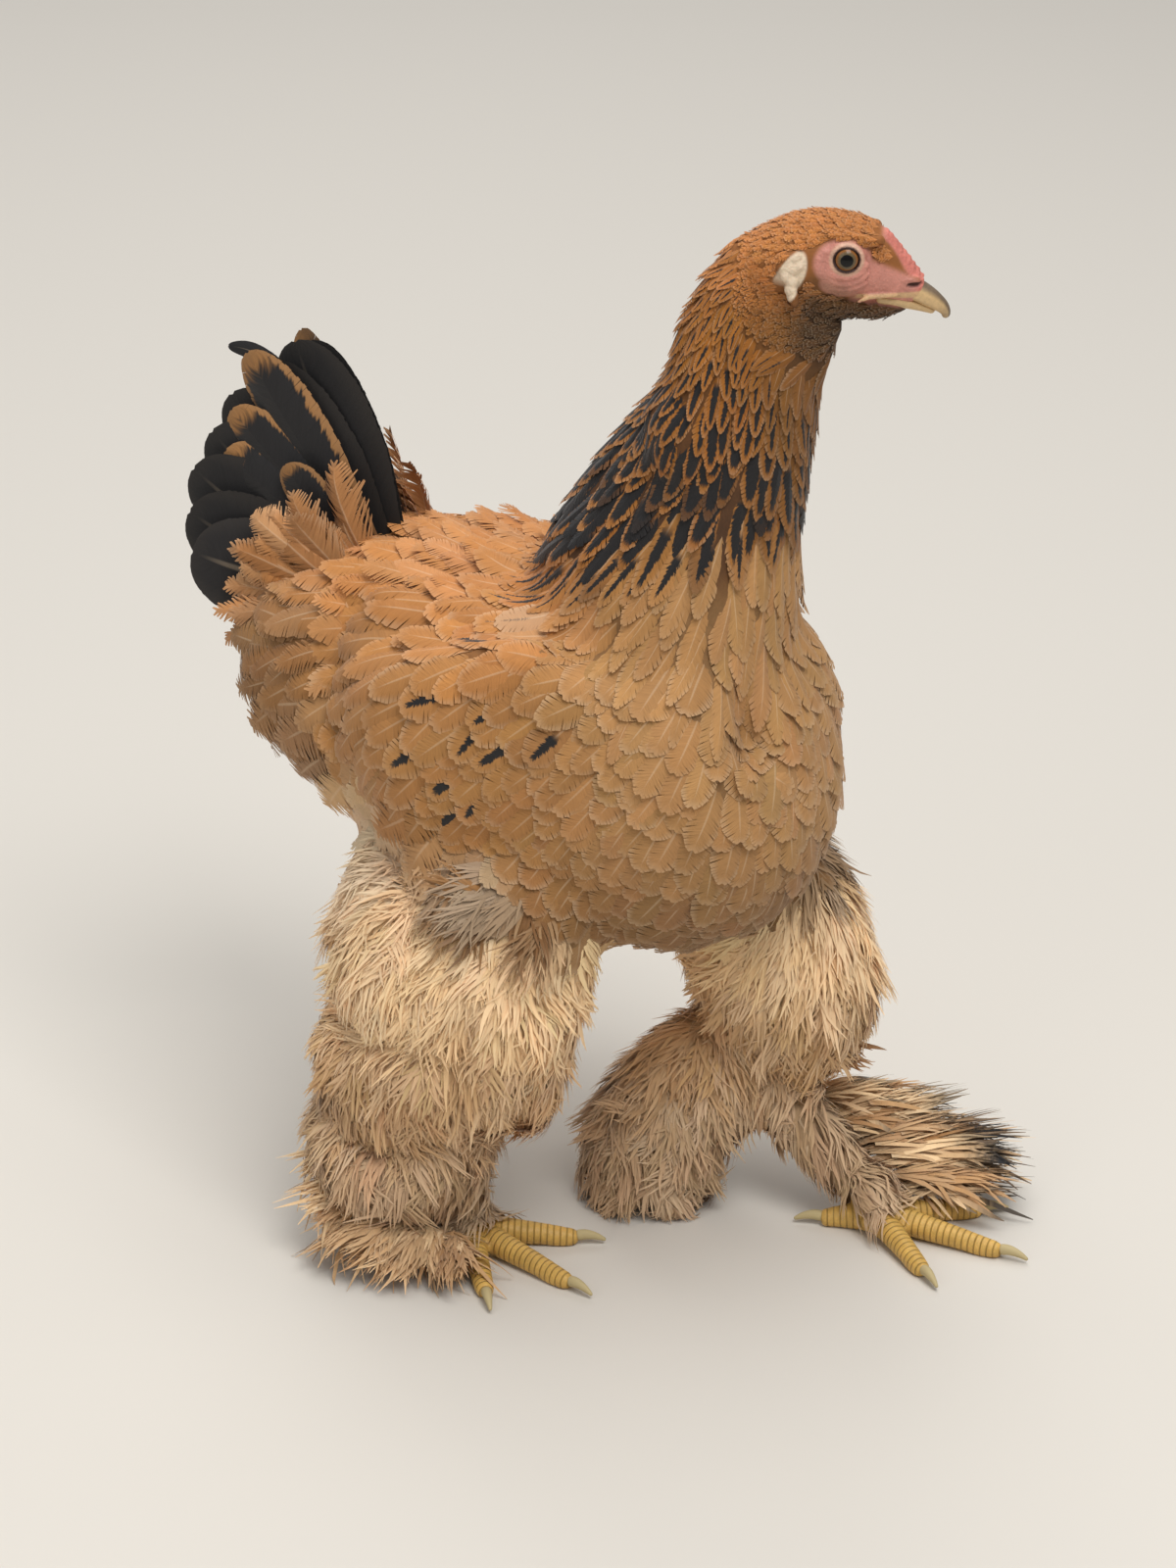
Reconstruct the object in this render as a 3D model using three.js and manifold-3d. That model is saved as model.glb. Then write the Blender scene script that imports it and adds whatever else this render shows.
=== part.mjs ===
// A buff Brahma hen, life size, mid-stride with the left foot set forward and the head turned to the left.
// Millimetres, +Z up. The hen faces -Y, its left side is +X, and the floor under its feet is z = 0.
// Each solid has the outline of the plumage, or of the bare skin where there is none.
import * as THREE from "three";
import { mergeVertices } from "three/addons/utils/BufferGeometryUtils.js";
import Module from "manifold-3d";

const wasm = await Module();
wasm.setup();

// Driving dimensions
const GAP = 0.3; // clearance between neighbouring solids
const BACK_HEIGHT = 346;
const KEEL_HEIGHT = 158;
const BODY_HALF_WIDTH = 90;
const BREAST_FRONT = 70;
const RUMP_END = -244;
const HEAD_AT = { forward: 70, left: 20, up: 515 }; // midway between the eyes
const HEAD_YAW = 36; // degrees to the hen's left
const HEAD_PITCH = 8; // degrees, beak down
const EYE_SPREAD = 11.9; // from the middle of the head to the middle of an eyeball
const EYE_RADIUS = 7;
const FOOT_SPREAD = 64; // from the midline to the middle of a foot
const STRIDE = { left: 72, right: -80 }; // how far forward each foot stands
const TOE_TURN = { left: 8, right: 4 }; // degrees that each foot is turned out
const TOE_RADIUS = 6.4;
const CLAW_LENGTH = 13;
const TAIL_ROOT = { forward: -156, left: 0, up: 296 };
const TAIL_FEATHERS_A_SIDE = 6;
const FEATHER_THICKNESS = 2.6;
const FLOOR_BITE = 0.6; // how much is cut off the underside of a toe to make its flat

const COLOURS = {
  buff: 0xb98a5c,
  hackle: 0x8a5730,
  fluff: 0xd2ac80,
  black: 0x1f2022,
  skin: 0xc98278,
  lobe: 0xcdbba4,
  horn: 0xc9b27c,
  toe: 0xd9a73c,
  iris: 0x8a6a30,
};

const BACKWARD = new THREE.Vector3(0, 1, 0);

// A point from how far forward, how far to the left and how far up it is.
const at = (forward, left, up) => new THREE.Vector3(left, -forward, up);
const place = ({ forward, left, up }) => at(forward, left, up);

// Shares of the way along a loft, closer together in its two round ends.
function ringShares(rings, startCap, endCap, capRings) {
  const shares = [];
  for (let i = 1; i <= capRings; i++)
    shares.push(startCap * (1 - Math.cos((i / capRings) * (Math.PI / 2))));
  for (let i = 1; i < rings; i++)
    shares.push(startCap + (1 - startCap - endCap) * (i / rings));
  for (let i = capRings; i >= 1; i--)
    shares.push(1 - endCap * (1 - Math.cos((i / capRings) * (Math.PI / 2))));
  return shares;
}

// How much of its full size a ring has, as the ends close over.
function roundness(share, startCap, endCap) {
  const fromStart = Math.min(share / startCap, 1);
  const fromEnd = Math.min((1 - share) / endCap, 1);
  return Math.sqrt(1 - (1 - fromStart) ** 2) * Math.sqrt(1 - (1 - fromEnd) ** 2);
}

// A closed solid through stations { at, across, above, below }, whose rings are superellipses.
// across is the half-width along the side direction; above is the half-height towards the
// "towards" direction, and below is the other half-height.
function loft(stations, options = {}) {
  const { rings = 14, sides = 24, caps = [0.12, 0.12], capRings = 4, power = 2, grow = 0 } = options;
  const side = options.side ?? new THREE.Vector3(1, 0, 0);
  const towards = options.towards ?? new THREE.Vector3(0, 0, 1);
  const path = new THREE.CatmullRomCurve3(stations.map((s) => s.at));
  const sizes = new THREE.CatmullRomCurve3(
    stations.map((s) => new THREE.Vector3(s.across, s.above, s.below ?? s.above)),
  );
  const shares = ringShares(rings, ...caps, capRings);
  const points = [path.getPoint(0)];
  for (const share of shares) {
    const centre = path.getPoint(share);
    const tangent = path.getTangent(Math.min(Math.max(share, 0.01), 0.99));
    const up = new THREE.Vector3().crossVectors(tangent, side).normalize();
    const out = new THREE.Vector3().crossVectors(up, tangent).normalize();
    if (up.dot(towards) < 0) up.negate();
    const size = sizes.getPoint(share);
    const scale = roundness(share, ...caps);
    for (let i = 0; i < sides; i++) {
      const angle = (2 * Math.PI * i) / sides;
      const bend = (v) => Math.sign(v) * Math.abs(v) ** (2 / power);
      const x = bend(Math.cos(angle)) * (size.x + grow) * scale;
      const rise = Math.sin(angle) > 0 ? size.y : size.z;
      const y = bend(Math.sin(angle)) * (rise + grow) * scale;
      points.push(centre.clone().addScaledVector(out, x).addScaledVector(up, y));
    }
  }
  const last = path.getPoint(1);
  if (grow) {
    points[0].addScaledVector(path.getTangent(0), -grow);
    last.addScaledVector(path.getTangent(1), grow);
  }
  points.push(last);
  return closedRings(points, shares.length, sides);
}

// The faces of a stack of rings with a point at each end, turned to face out.
function closedRings(points, ringCount, sides) {
  const faces = [];
  const end = points.length - 1;
  for (let i = 0; i < sides; i++) {
    const j = (i + 1) % sides;
    faces.push(0, 1 + j, 1 + i);
    for (let r = 0; r < ringCount - 1; r++) {
      const a = 1 + r * sides;
      const b = a + sides;
      faces.push(a + i, a + j, b + j, a + i, b + j, b + i);
    }
    const a = 1 + (ringCount - 1) * sides;
    faces.push(a + i, a + j, end);
  }
  const geometry = new THREE.BufferGeometry();
  geometry.setFromPoints(points);
  geometry.setIndex(faces);
  return geometry;
}

// A three.js geometry as a solid for cutting and joining.
function solid(geometry) {
  const bare = geometry.clone();
  bare.deleteAttribute("normal");
  bare.deleteAttribute("uv");
  const merged = mergeVertices(bare, 1e-3);
  const triVerts = new Uint32Array(merged.index.array);
  const vertProperties = merged.attributes.position.array;
  const made = new wasm.Manifold(new wasm.Mesh({ numProp: 3, vertProperties, triVerts }));
  if (made.volume() > 0) return made;
  for (let i = 0; i < triVerts.length; i += 3)
    [triVerts[i + 1], triVerts[i + 2]] = [triVerts[i + 2], triVerts[i + 1]];
  return new wasm.Manifold(new wasm.Mesh({ numProp: 3, vertProperties, triVerts }));
}

// The largest piece of a solid, without the slivers that a cut can leave.
function largest(made) {
  return made.decompose().sort((a, b) => b.volume() - a.volume())[0];
}

const hen = new THREE.Group();

// Adds a solid to the hen as a named mesh.
function add(name, made, colour, roughness = 0.8) {
  const { vertProperties, triVerts } = largest(made).getMesh();
  const geometry = new THREE.BufferGeometry();
  geometry.setAttribute("position", new THREE.BufferAttribute(vertProperties, 3));
  geometry.setIndex(new THREE.BufferAttribute(triVerts, 1));
  geometry.computeVertexNormals();
  const material = new THREE.MeshStandardMaterial({ color: colour, roughness, metalness: 0 });
  const mesh = new THREE.Mesh(geometry, material);
  mesh.name = name;
  hen.add(mesh);
}

const SIDES = [["left", 1], ["right", -1]];

// Everything under the floor, to cut flats on what touches it
const UNDER_FLOOR = solid(new THREE.BoxGeometry(2000, 2000, 200)).translate([0, 0, -100]);

// Trunk: breast, back and rump, as slices from the front to the rear
function trunkSlice(forward, top, bottom, halfWidth) {
  const middle = bottom + (top - bottom) * 0.56;
  return { at: at(forward, 0, middle), across: halfWidth, above: top - middle, below: middle - bottom };
}

function trunk(grow = 0) {
  const w = BODY_HALF_WIDTH;
  const stations = [
    trunkSlice(BREAST_FRONT, BACK_HEIGHT - 16, KEEL_HEIGHT + 70, w * 0.5),
    trunkSlice(42, BACK_HEIGHT + 4, KEEL_HEIGHT + 32, w * 0.77),
    trunkSlice(2, BACK_HEIGHT + 12, KEEL_HEIGHT + 4, w * 0.92),
    trunkSlice(-45, BACK_HEIGHT + 4, KEEL_HEIGHT + 2, w * 1.04),
    trunkSlice(-100, BACK_HEIGHT - 2, KEEL_HEIGHT + 14, w * 1.08),
    trunkSlice(-150, BACK_HEIGHT - 4, KEEL_HEIGHT + 30, w),
    trunkSlice(-195, BACK_HEIGHT - 18, KEEL_HEIGHT + 48, w * 0.86),
    trunkSlice(RUMP_END, BACK_HEIGHT - 40, KEEL_HEIGHT + 78, w * 0.6),
  ];
  return solid(loft(stations, { rings: 9, sides: 20, caps: [0.11, 0.12], power: 2.1, grow }));
}

// Neck: the hackle's cape, from the shoulders to the nape
function neck(grow = 0) {
  const stations = [
    { at: at(-6, 0, 312), across: 66, above: 80, below: 60 },
    { at: at(2, 0, 350), across: 58, above: 76, below: 58 },
    { at: at(12, 2, 390), across: 45, above: 60, below: 50 },
    { at: at(25, 6, 432), across: 34, above: 43, below: 40 },
    { at: at(37, 8, 472), across: 27, above: 39, below: 33 },
    { at: at(43, 4, 502), across: 17, above: 28, below: 21 },
    { at: at(46, 2, 522), across: 11, above: 16, below: 9 },
  ];
  const shape = { rings: 8, sides: 14, capRings: 3, caps: [0.08, 0.1] };
  return solid(loft(stations, { ...shape, grow, towards: BACKWARD }));
}

// Head: everything here is in the head's own frame, with +X to the beak, +Y left and +Z up
const headPoint = (x, z, y = 0) => new THREE.Vector3(x, y, z);
const HEAD_SIDE = new THREE.Vector3(0, 1, 0);
const HEAD_REAR = new THREE.Vector3(-1, 0, 0);

function headFrame() {
  const frame = new THREE.Object3D();
  frame.position.copy(place(HEAD_AT));
  frame.rotation.order = "ZYX";
  frame.rotation.z = THREE.MathUtils.degToRad(HEAD_YAW - 90);
  frame.rotation.y = THREE.MathUtils.degToRad(HEAD_PITCH);
  frame.updateMatrixWorld(true);
  return frame.matrixWorld;
}

// A loft in the head's frame, as a solid in the hen's
function headLoft(stations, options) {
  return solid(loft(stations, { side: HEAD_SIDE, ...options }).applyMatrix4(headFrame()));
}

function eyeball(side, radius = EYE_RADIUS) {
  const ball = new THREE.SphereGeometry(radius, 12, 6);
  ball.rotateX(Math.PI / 2);
  ball.translate(0, side * EYE_SPREAD, 0);
  return solid(ball.applyMatrix4(headFrame()));
}

function skull(grow = 0) {
  const stations = [
    { at: headPoint(-40, -12), across: 15, above: 17, below: 16 },
    { at: headPoint(-26, -7), across: 17.5, above: 21, below: 21 },
    { at: headPoint(-10, -4), across: 17.6, above: 22, below: 24 },
    { at: headPoint(4, -4), across: 16, above: 21, below: 21 },
    { at: headPoint(16, -7), across: 12.5, above: 17, below: 15.5 },
    { at: headPoint(27, -11.5), across: 8.6, above: 11, below: 9 },
    { at: headPoint(34, -15), across: 6, above: 7, below: 5.5 },
  ];
  return headLoft(stations, { rings: 7, sides: 12, capRings: 3, caps: [0.14, 0.08], grow });
}

const BEAK_SHAPE = { rings: 5, sides: 8, capRings: 2, caps: [0.08, 0.1] };

function upperBeak(grow = 0) {
  const stations = [
    { at: headPoint(26, -15.4), across: 7.2, above: 7.8, below: 1.6 },
    { at: headPoint(34, -16.2), across: 6.2, above: 6.8, below: 1.8 },
    { at: headPoint(42, -18.4), across: 4.8, above: 5.4, below: 2.2 },
    { at: headPoint(48.5, -21.4), across: 3, above: 3.6, below: 2.2 },
    { at: headPoint(51.8, -26.2), across: 1.2, above: 1.6, below: 1.4 },
  ];
  return headLoft(stations, { ...BEAK_SHAPE, grow });
}

function lowerBeak(grow = 0) {
  const stations = [
    { at: headPoint(18, -20.4), across: 6.6, above: 1.8, below: 4 },
    { at: headPoint(29, -20.8), across: 5.6, above: 2, below: 4 },
    { at: headPoint(39, -22.4), across: 3.8, above: 1.6, below: 3 },
    { at: headPoint(46.5, -24.8), across: 1.6, above: 0.9, below: 1.6 },
  ];
  return headLoft(stations, { ...BEAK_SHAPE, grow });
}

// A pea comb: three low ridges side by side over the root of the beak
function comb() {
  const ridge = (y, height) => {
    const stations = [
      { at: headPoint(11, 15, y), across: 1.6, above: height, below: 4 },
      { at: headPoint(20, 8.6, y), across: 2.2, above: height, below: 4 },
      { at: headPoint(28, 0.4, y), across: 2.1, above: height, below: 4 },
      { at: headPoint(34, -6, y), across: 1.5, above: height * 0.6, below: 3 },
    ];
    return headLoft(stations, { rings: 3, sides: 5, capRings: 1, caps: [0.16, 0.16] });
  };
  return ridge(0, 3.4).add(ridge(3.3, 1.9)).add(ridge(-3.3, 1.9));
}

const LOBE_SHAPE = { rings: 4, sides: 8, capRings: 2, caps: [0.2, 0.24], towards: HEAD_REAR };

function earlobe(side) {
  const stations = [
    { at: headPoint(-25, 3, side * 17), across: 3.4, above: 3.5 },
    { at: headPoint(-25, -4, side * 18.2), across: 3.8, above: 5.4 },
    { at: headPoint(-22, -13, side * 17.2), across: 3.6, above: 4.8 },
    { at: headPoint(-18, -20, side * 14.2), across: 2.4, above: 3 },
  ];
  return headLoft(stations, LOBE_SHAPE);
}

function wattle(side) {
  const stations = [
    { at: headPoint(12, -21, side * 5), across: 1.8, above: 5.4, below: 5 },
    { at: headPoint(10, -27, side * 5.2), across: 1.7, above: 5, below: 5 },
    { at: headPoint(9, -31, side * 5), across: 1.3, above: 3.4 },
  ];
  return headLoft(stations, LOBE_SHAPE);
}

function addHead(neckRoom) {
  let head = skull().subtract(neckRoom);
  for (const side of [1, -1]) head = head.subtract(eyeball(side, EYE_RADIUS + GAP));
  const room = skull(GAP).add(neckRoom);
  add("head", head, COLOURS.skin);
  add("comb", comb().subtract(room).subtract(upperBeak(GAP)), COLOURS.skin);
  add("beak_upper", upperBeak().subtract(room), COLOURS.horn, 0.4);
  add("beak_lower", lowerBeak().subtract(room).subtract(upperBeak(GAP)), COLOURS.horn, 0.4);
  for (const [label, side] of SIDES) {
    add("eye_" + label, eyeball(side), COLOURS.iris, 0.1);
    add("earlobe_" + label, earlobe(side).subtract(room), COLOURS.lobe);
    add("wattle_" + label, wattle(side).subtract(room).subtract(lowerBeak(GAP)), COLOURS.skin);
  }
}

// A folded wing, a shell over the side of the trunk whose tip hangs behind the thigh's top
function wing(side, grow = 0) {
  const stations = [
    { at: at(14, side * 66, 306), across: 14, above: 28 },
    { at: at(-34, side * 80, 292), across: 17, above: 46 },
    { at: at(-84, side * 88, 270), across: 17, above: 48 },
    { at: at(-120, side * 84, 252), across: 10, above: 28 },
  ];
  return solid(loft(stations, { rings: 6, sides: 12, capRings: 3, caps: [0.2, 0.18], grow }));
}

// A flat feather from its root to its tip, widest near the tip
function blade(root, tip, width, grow, thickness = FEATHER_THICKNESS) {
  const along = tip.clone().sub(root);
  const sideways = new THREE.Vector3(1, 0, 0);
  const side = new THREE.Vector3().crossVectors(along, sideways).normalize();
  const above = thickness / 2;
  const stations = [
    { at: root, across: width * 0.22, above },
    { at: root.clone().lerp(tip, 0.55), across: width * 0.45, above },
    { at: tip, across: width * 0.46, above },
  ];
  const shape = { rings: 3, sides: 4, capRings: 2, caps: [0.05, 0.26] };
  return solid(loft(stations, { ...shape, side, towards: sideways, grow }));
}

// A point at a distance from the tail's root, up by one angle and splayed to one side by another
function fanPoint(length, rise, splay, side) {
  const [up, out] = [rise, splay].map(THREE.MathUtils.degToRad);
  const flat = length * Math.cos(up);
  const root = place(TAIL_ROOT);
  return root.add(at(-flat * Math.cos(out), side * flat * Math.sin(out), length * Math.sin(up)));
}

// Tail: two leaning rows of broad feathers that meet along the top
function tail(grow = 0) {
  const rootStations = [
    { at: at(-152, 0, 318), across: 24, above: 26 },
    { at: at(-192, 0, 328), across: 22, above: 34 },
    { at: at(-234, 0, 338), across: 12, above: 32 },
  ];
  const rootShape = { rings: 4, sides: 8, capRings: 2, caps: [0.2, 0.3], grow };
  let made = solid(loft(rootStations, rootShape));
  for (const [, side] of SIDES)
    for (let i = 0; i < TAIL_FEATHERS_A_SIDE; i++) {
      const share = i / (TAIL_FEATHERS_A_SIDE - 1);
      const rise = 59 - 47 * share;
      const splay = 2 + 14 * share;
      const length = 142 - 8 * share;
      const offset = at(0, side * (3 + 3.8 * i), 0);
      const root = fanPoint(24, rise, splay, side);
      made = made.add(blade(root, fanPoint(length, rise, splay, side).add(offset), 38 + 6 * share, grow));
    }
  return made;
}

// Tail coverts: shorter feathers over each side of the tail
function coverts(side) {
  const stations = [
    { at: at(-146, side * 26, 306), across: 20, above: 24 },
    { at: at(-186, side * 34, 319), across: 21, above: 27 },
    { at: at(-222, side * 40, 322), across: 15, above: 25 },
  ];
  let made = solid(loft(stations, { rings: 4, sides: 8, capRings: 2, caps: [0.3, 0.3] }));
  const rows = [
    [126, 54, 4, 12],
    [113, 42, 8, 17],
    [96, 29, 13, 22],
    [78, 12, 18, 27],
  ];
  for (const [length, rise, splay, outward] of rows) {
    const offset = at(0, side * outward, 0);
    const root = fanPoint(30, rise, splay, side).add(offset);
    const tip = fanPoint(length, rise, splay, side).add(offset);
    made = made.add(blade(root, tip, 42, 0, 2 * FEATHER_THICKNESS));
  }
  return made;
}

// Legs: a column of soft feathers, as levels of [forward, left, up, across, to the front, to the rear]
function column(levels, grow = 0) {
  const stations = levels.map(([forward, left, up, across, below, above]) => {
    return { at: at(forward, left, up), across, above, below };
  });
  const shape = { rings: 6, sides: 13, capRings: 2 };
  return solid(loft(stations, { ...shape, towards: BACKWARD, grow })).subtract(UNDER_FLOOR);
}

const THIGHS = {
  left: [
    [-8, 44, 232, 32, 40, 52],
    [0, 52, 190, 38, 42, 56],
    [14, 64, 142, 44, 50, 56],
    [18, 70, 102, 41, 45, 48],
    [12, 66, 74, 25, 29, 28],
  ],
  right: [
    [-62, -56, 240, 38, 62, 60],
    [-72, -64, 196, 46, 70, 66],
    [-84, -72, 150, 52, 76, 66],
    [-92, -74, 108, 48, 64, 60],
    [-96, -72, 78, 34, 46, 46],
  ],
};

const HOCKS = {
  left: [
    [-4, 50, 94, 22, 26, 30],
    [-18, 38, 66, 30, 34, 34],
    [-33, 27, 32, 33, 36, 38],
    [-40, 22, -14, 27, 32, 33],
  ],
  right: [
    [-100, -78, 108, 36, 46, 42],
    [-106, -78, 80, 42, 50, 50],
    [-108, -80, 54, 44, 52, 50],
    [-104, -82, 30, 34, 42, 42],
    [-98, -82, 16, 22, 28, 28],
  ],
};

const HOCK_JOINTS = { left: at(4, 56, 74), right: at(-96, -68, 84) };

function footAt(label) {
  const side = SIDES.find(([name]) => name === label)[1];
  return at(STRIDE[label], side * FOOT_SPREAD, 0);
}

// A point over the floor, at a distance and a heading (degrees outward) from the middle of a foot
function fromFoot(label, heading, distance, up) {
  const side = SIDES.find(([name]) => name === label)[1];
  const angle = THREE.MathUtils.degToRad(heading + TOE_TURN[label]);
  return footAt(label).add(at(distance * Math.cos(angle), side * distance * Math.sin(angle), up));
}

// The shank with its booting of short feathers, and the pad of the foot
function shank(label, grow = 0) {
  const top = HOCK_JOINTS[label];
  const foot = footAt(label).setZ(15);
  const between = (share) => top.clone().lerp(foot, share);
  const stations = [
    { at: between(0.05), across: 15, above: 17 },
    { at: between(0.35), across: 16, above: 19 },
    { at: between(0.7), across: 15, above: 18 },
    { at: between(1), across: 11, above: 11 },
  ];
  const shape = { rings: 3, sides: 8, capRings: 2, towards: BACKWARD, grow };
  const pad = solid(new THREE.SphereGeometry(11 + grow, 8, 6)).translate(foot.setZ(10).toArray());
  return solid(loft(stations, shape)).add(pad).subtract(UNDER_FLOOR);
}

// Toes: [name, heading in degrees outward, length]
const TOES = [
  ["inner", -38, 54],
  ["middle", 2, 68],
  ["outer", 40, 56],
  ["hind", 202, 26],
];

function toeAcross(label, heading) {
  const along = fromFoot(label, heading, 1, 0).sub(fromFoot(label, heading, 0, 0));
  return new THREE.Vector3(-along.y, along.x, 0);
}

function toe(label, heading, length, grow = 0) {
  const station = (share, thickness) => {
    const r = TOE_RADIUS * thickness;
    return { at: fromFoot(label, heading, share * length, r - FLOOR_BITE), across: r, above: r };
  };
  const stations = [station(0.1, 1.05), station(0.4, 1), station(0.7, 0.86), station(1, 0.66)];
  const shape = { rings: 2, sides: 7, capRings: 2, caps: [0.14, 0.12] };
  const made = solid(loft(stations, { ...shape, side: toeAcross(label, heading), grow }));
  return made.subtract(UNDER_FLOOR);
}

function claw(label, heading, length, grow = 0) {
  const point = (distance, up) => fromFoot(label, heading, length + distance, up);
  const stations = [
    { at: point(-1.5, 4.6), across: 2.6, above: 2.8 },
    { at: point(CLAW_LENGTH * 0.45, 5), across: 2, above: 2.2 },
    { at: point(CLAW_LENGTH, 2.6), across: 0.8, above: 0.8 },
  ];
  const shape = { rings: 3, sides: 5, capRings: 1, caps: [0.1, 0.16] };
  return solid(loft(stations, { ...shape, side: toeAcross(label, heading), grow }));
}

// Foot plumes: stiff feathers off the outer side of a shank and its outer toe, as
// [root, tip, width], with each point as forward, left and up
const PLUMES = {
  left: [
    [[24, 76, 44], [60, 124, 46], 28],
    [[40, 78, 36], [90, 146, 42], 32],
    [[54, 80, 28], [116, 150, 32], 34],
    [[66, 82, 22], [130, 138, 19], 32],
    [[76, 82, 17], [124, 116, 10], 26],
  ],
  right: [
    [[-118, -88, 46], [-152, -118, 40], 36],
    [[-110, -92, 34], [-144, -132, 18], 38],
    [[-98, -94, 26], [-116, -142, 9], 38],
    [[-86, -92, 20], [-82, -136, 6], 34],
    [[-76, -88, 15], [-50, -118, 5], 28],
  ],
};

function plumes(label, grow = 0) {
  const roots = PLUMES[label].map(([root]) => ({ at: at(...root), across: 7, above: 7 }));
  let made = solid(loft(roots, { rings: 3, sides: 5, capRings: 1, towards: BACKWARD, grow }));
  for (const [root, tip, width] of PLUMES[label])
    made = made.add(blade(at(...root), at(...tip), width, grow, 2 * FEATHER_THICKNESS));
  return made.subtract(UNDER_FLOOR);
}

function addLeg(label, bodyRoom) {
  let room = bodyRoom;
  const addClear = (name, part, colour) => {
    add(name, part().subtract(room), colour);
    room = room.add(part(GAP));
  };
  addClear("thigh_" + label, (grow) => column(THIGHS[label], grow), COLOURS.fluff);
  addClear("hock_fluff_" + label, (grow) => column(HOCKS[label], grow), COLOURS.fluff);
  addClear("shank_" + label, (grow) => shank(label, grow), COLOURS.fluff);
  for (const [name, heading, length] of TOES) {
    const key = label + "_" + name;
    addClear("claw_" + key, (grow) => claw(label, heading, length, grow), COLOURS.horn);
    addClear("toe_" + key, (grow) => toe(label, heading, length, grow), COLOURS.toe);
  }
  addClear("plumes_" + label, (grow) => plumes(label, grow), COLOURS.fluff);
}

const trunkRoom = trunk(GAP);
const neckRoom = neck(GAP);
add("trunk", trunk(), COLOURS.buff);
add("neck", neck().subtract(trunkRoom), COLOURS.hackle);
add("tail", tail().subtract(trunkRoom), COLOURS.black);
addHead(neckRoom);
for (const [label, side] of SIDES) {
  add("wing_" + label, wing(side).subtract(trunkRoom).subtract(neckRoom), COLOURS.buff);
  add("tail_coverts_" + label, coverts(side).subtract(trunkRoom).subtract(tail(GAP)), COLOURS.buff);
  addLeg(label, trunkRoom.add(wing(side, GAP)));
}

// The floor's origin is moved to the middle of the hen's box.
const middle = new THREE.Box3().setFromObject(hen).getCenter(new THREE.Vector3());
for (const mesh of hen.children) mesh.geometry.translate(-middle.x, -middle.y, 0);

export default hen;
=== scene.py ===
"""The looks of a buff Brahma hen: one skin, a coat of modelled feathers, beak, eyes and claws."""

import math

import bmesh
import bpy
import numpy as np
from bpy.props import FloatProperty, FloatVectorProperty, IntProperty, PointerProperty
from bpy.types import Operator, Panel, PropertyGroup
from mathutils import Matrix, Vector
from mathutils.bvhtree import BVHTree


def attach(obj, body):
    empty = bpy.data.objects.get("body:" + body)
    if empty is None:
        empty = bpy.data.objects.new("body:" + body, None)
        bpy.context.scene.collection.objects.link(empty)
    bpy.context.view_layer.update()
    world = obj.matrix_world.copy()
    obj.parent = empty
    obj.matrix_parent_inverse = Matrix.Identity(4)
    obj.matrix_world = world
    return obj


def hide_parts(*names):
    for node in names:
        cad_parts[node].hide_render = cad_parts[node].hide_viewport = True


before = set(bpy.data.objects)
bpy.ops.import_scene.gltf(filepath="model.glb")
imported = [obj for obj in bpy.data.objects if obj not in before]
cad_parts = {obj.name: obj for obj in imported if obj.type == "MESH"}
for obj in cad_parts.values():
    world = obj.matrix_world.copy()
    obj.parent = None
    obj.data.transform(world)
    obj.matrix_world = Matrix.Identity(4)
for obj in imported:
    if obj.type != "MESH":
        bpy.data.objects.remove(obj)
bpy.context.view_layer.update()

bl_info = {
    "name": "Buff Brahma hen",
    "version": (1, 0, 0),
    "blender": (4, 5, 0),
    "location": "3D View > Sidebar > Hen",
    "description": "Builds a life-size Brahma hen with modelled feathers",
    "category": "Object",
}

# Tables are in millimetres as forward, left, up. The scene is in metres, and faces -Y.
CENTRE_FORWARD = -63.573
CENTRE_LEFT = 4.0
MILLI = 0.001
SIDES = (("left", 1), ("right", -1))
FLOOR_LIFT = 0.0004
BAKE_PATCH = 0.003

# Head
HEAD_AT = (70, 20, 515)
HEAD_YAW = 36
HEAD_PITCH = 8
EYE_SPREAD = 11.9
EYE_RADIUS = 7.0

# Feet: toes as heading in degrees outward and length
FOOT_AT = {"left": (72, 64), "right": (-80, -64)}
TOE_TURN = {"left": 8, "right": 4}
TOES = {"inner": (-38, 54), "middle": (2, 68), "outer": (40, 56), "hind": (202, 26)}
TOE_RADIUS = 6.4
PLATE_LENGTH = 3.2
# Each station of a claw: its distance past the toe's end, its height and its half width and height
CLAW_STATIONS = [
    (-1.5, 4.6, 2.6, 2.8), (2.5, 5.3, 2.4, 2.6), (6, 5.0, 2.0, 2.2),
    (9.5, 4.0, 1.4, 1.6), (13, 2.4, 0.7, 0.8),
]

# Tail
TAIL_ROOT = (-156, 0, 296)
TAIL_SEED = 5
PLUME_SEED = 9
# Black feathers with a brown border over the tail: length, rise in degrees, distance outward and width
LACED_COVERTS = [
    (84, 12, 20, 28), (98, 23, 18, 30), (147, 54, 11, 34),
    (129, 44, 16, 32), (117, 36, 19, 34), (90, 50, 22, 24),
]
LACE_STRIPE = 1.25
LOOSE_COVERTS = 52
HIGH_COVERTS = 10

# Detail of the skin, in metres
BODY_VOXEL = 0.0042
HEAD_VOXEL = 0.00068
FOOT_VOXEL = 0.00105
GUIDE_VOXEL = 0.012

# How feathers are laid: control points along each, how deep its root is, and the shape of its lift
STATIONS = 5
ROOT_DEPTH = 0.001
RISE_POWER = 1.25
CUP_SHARE = 0.22
TUFT_STEPS = 4
# How near a direction of lie has to be to count for much, in metres
LIE_REACH = 0.012

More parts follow.
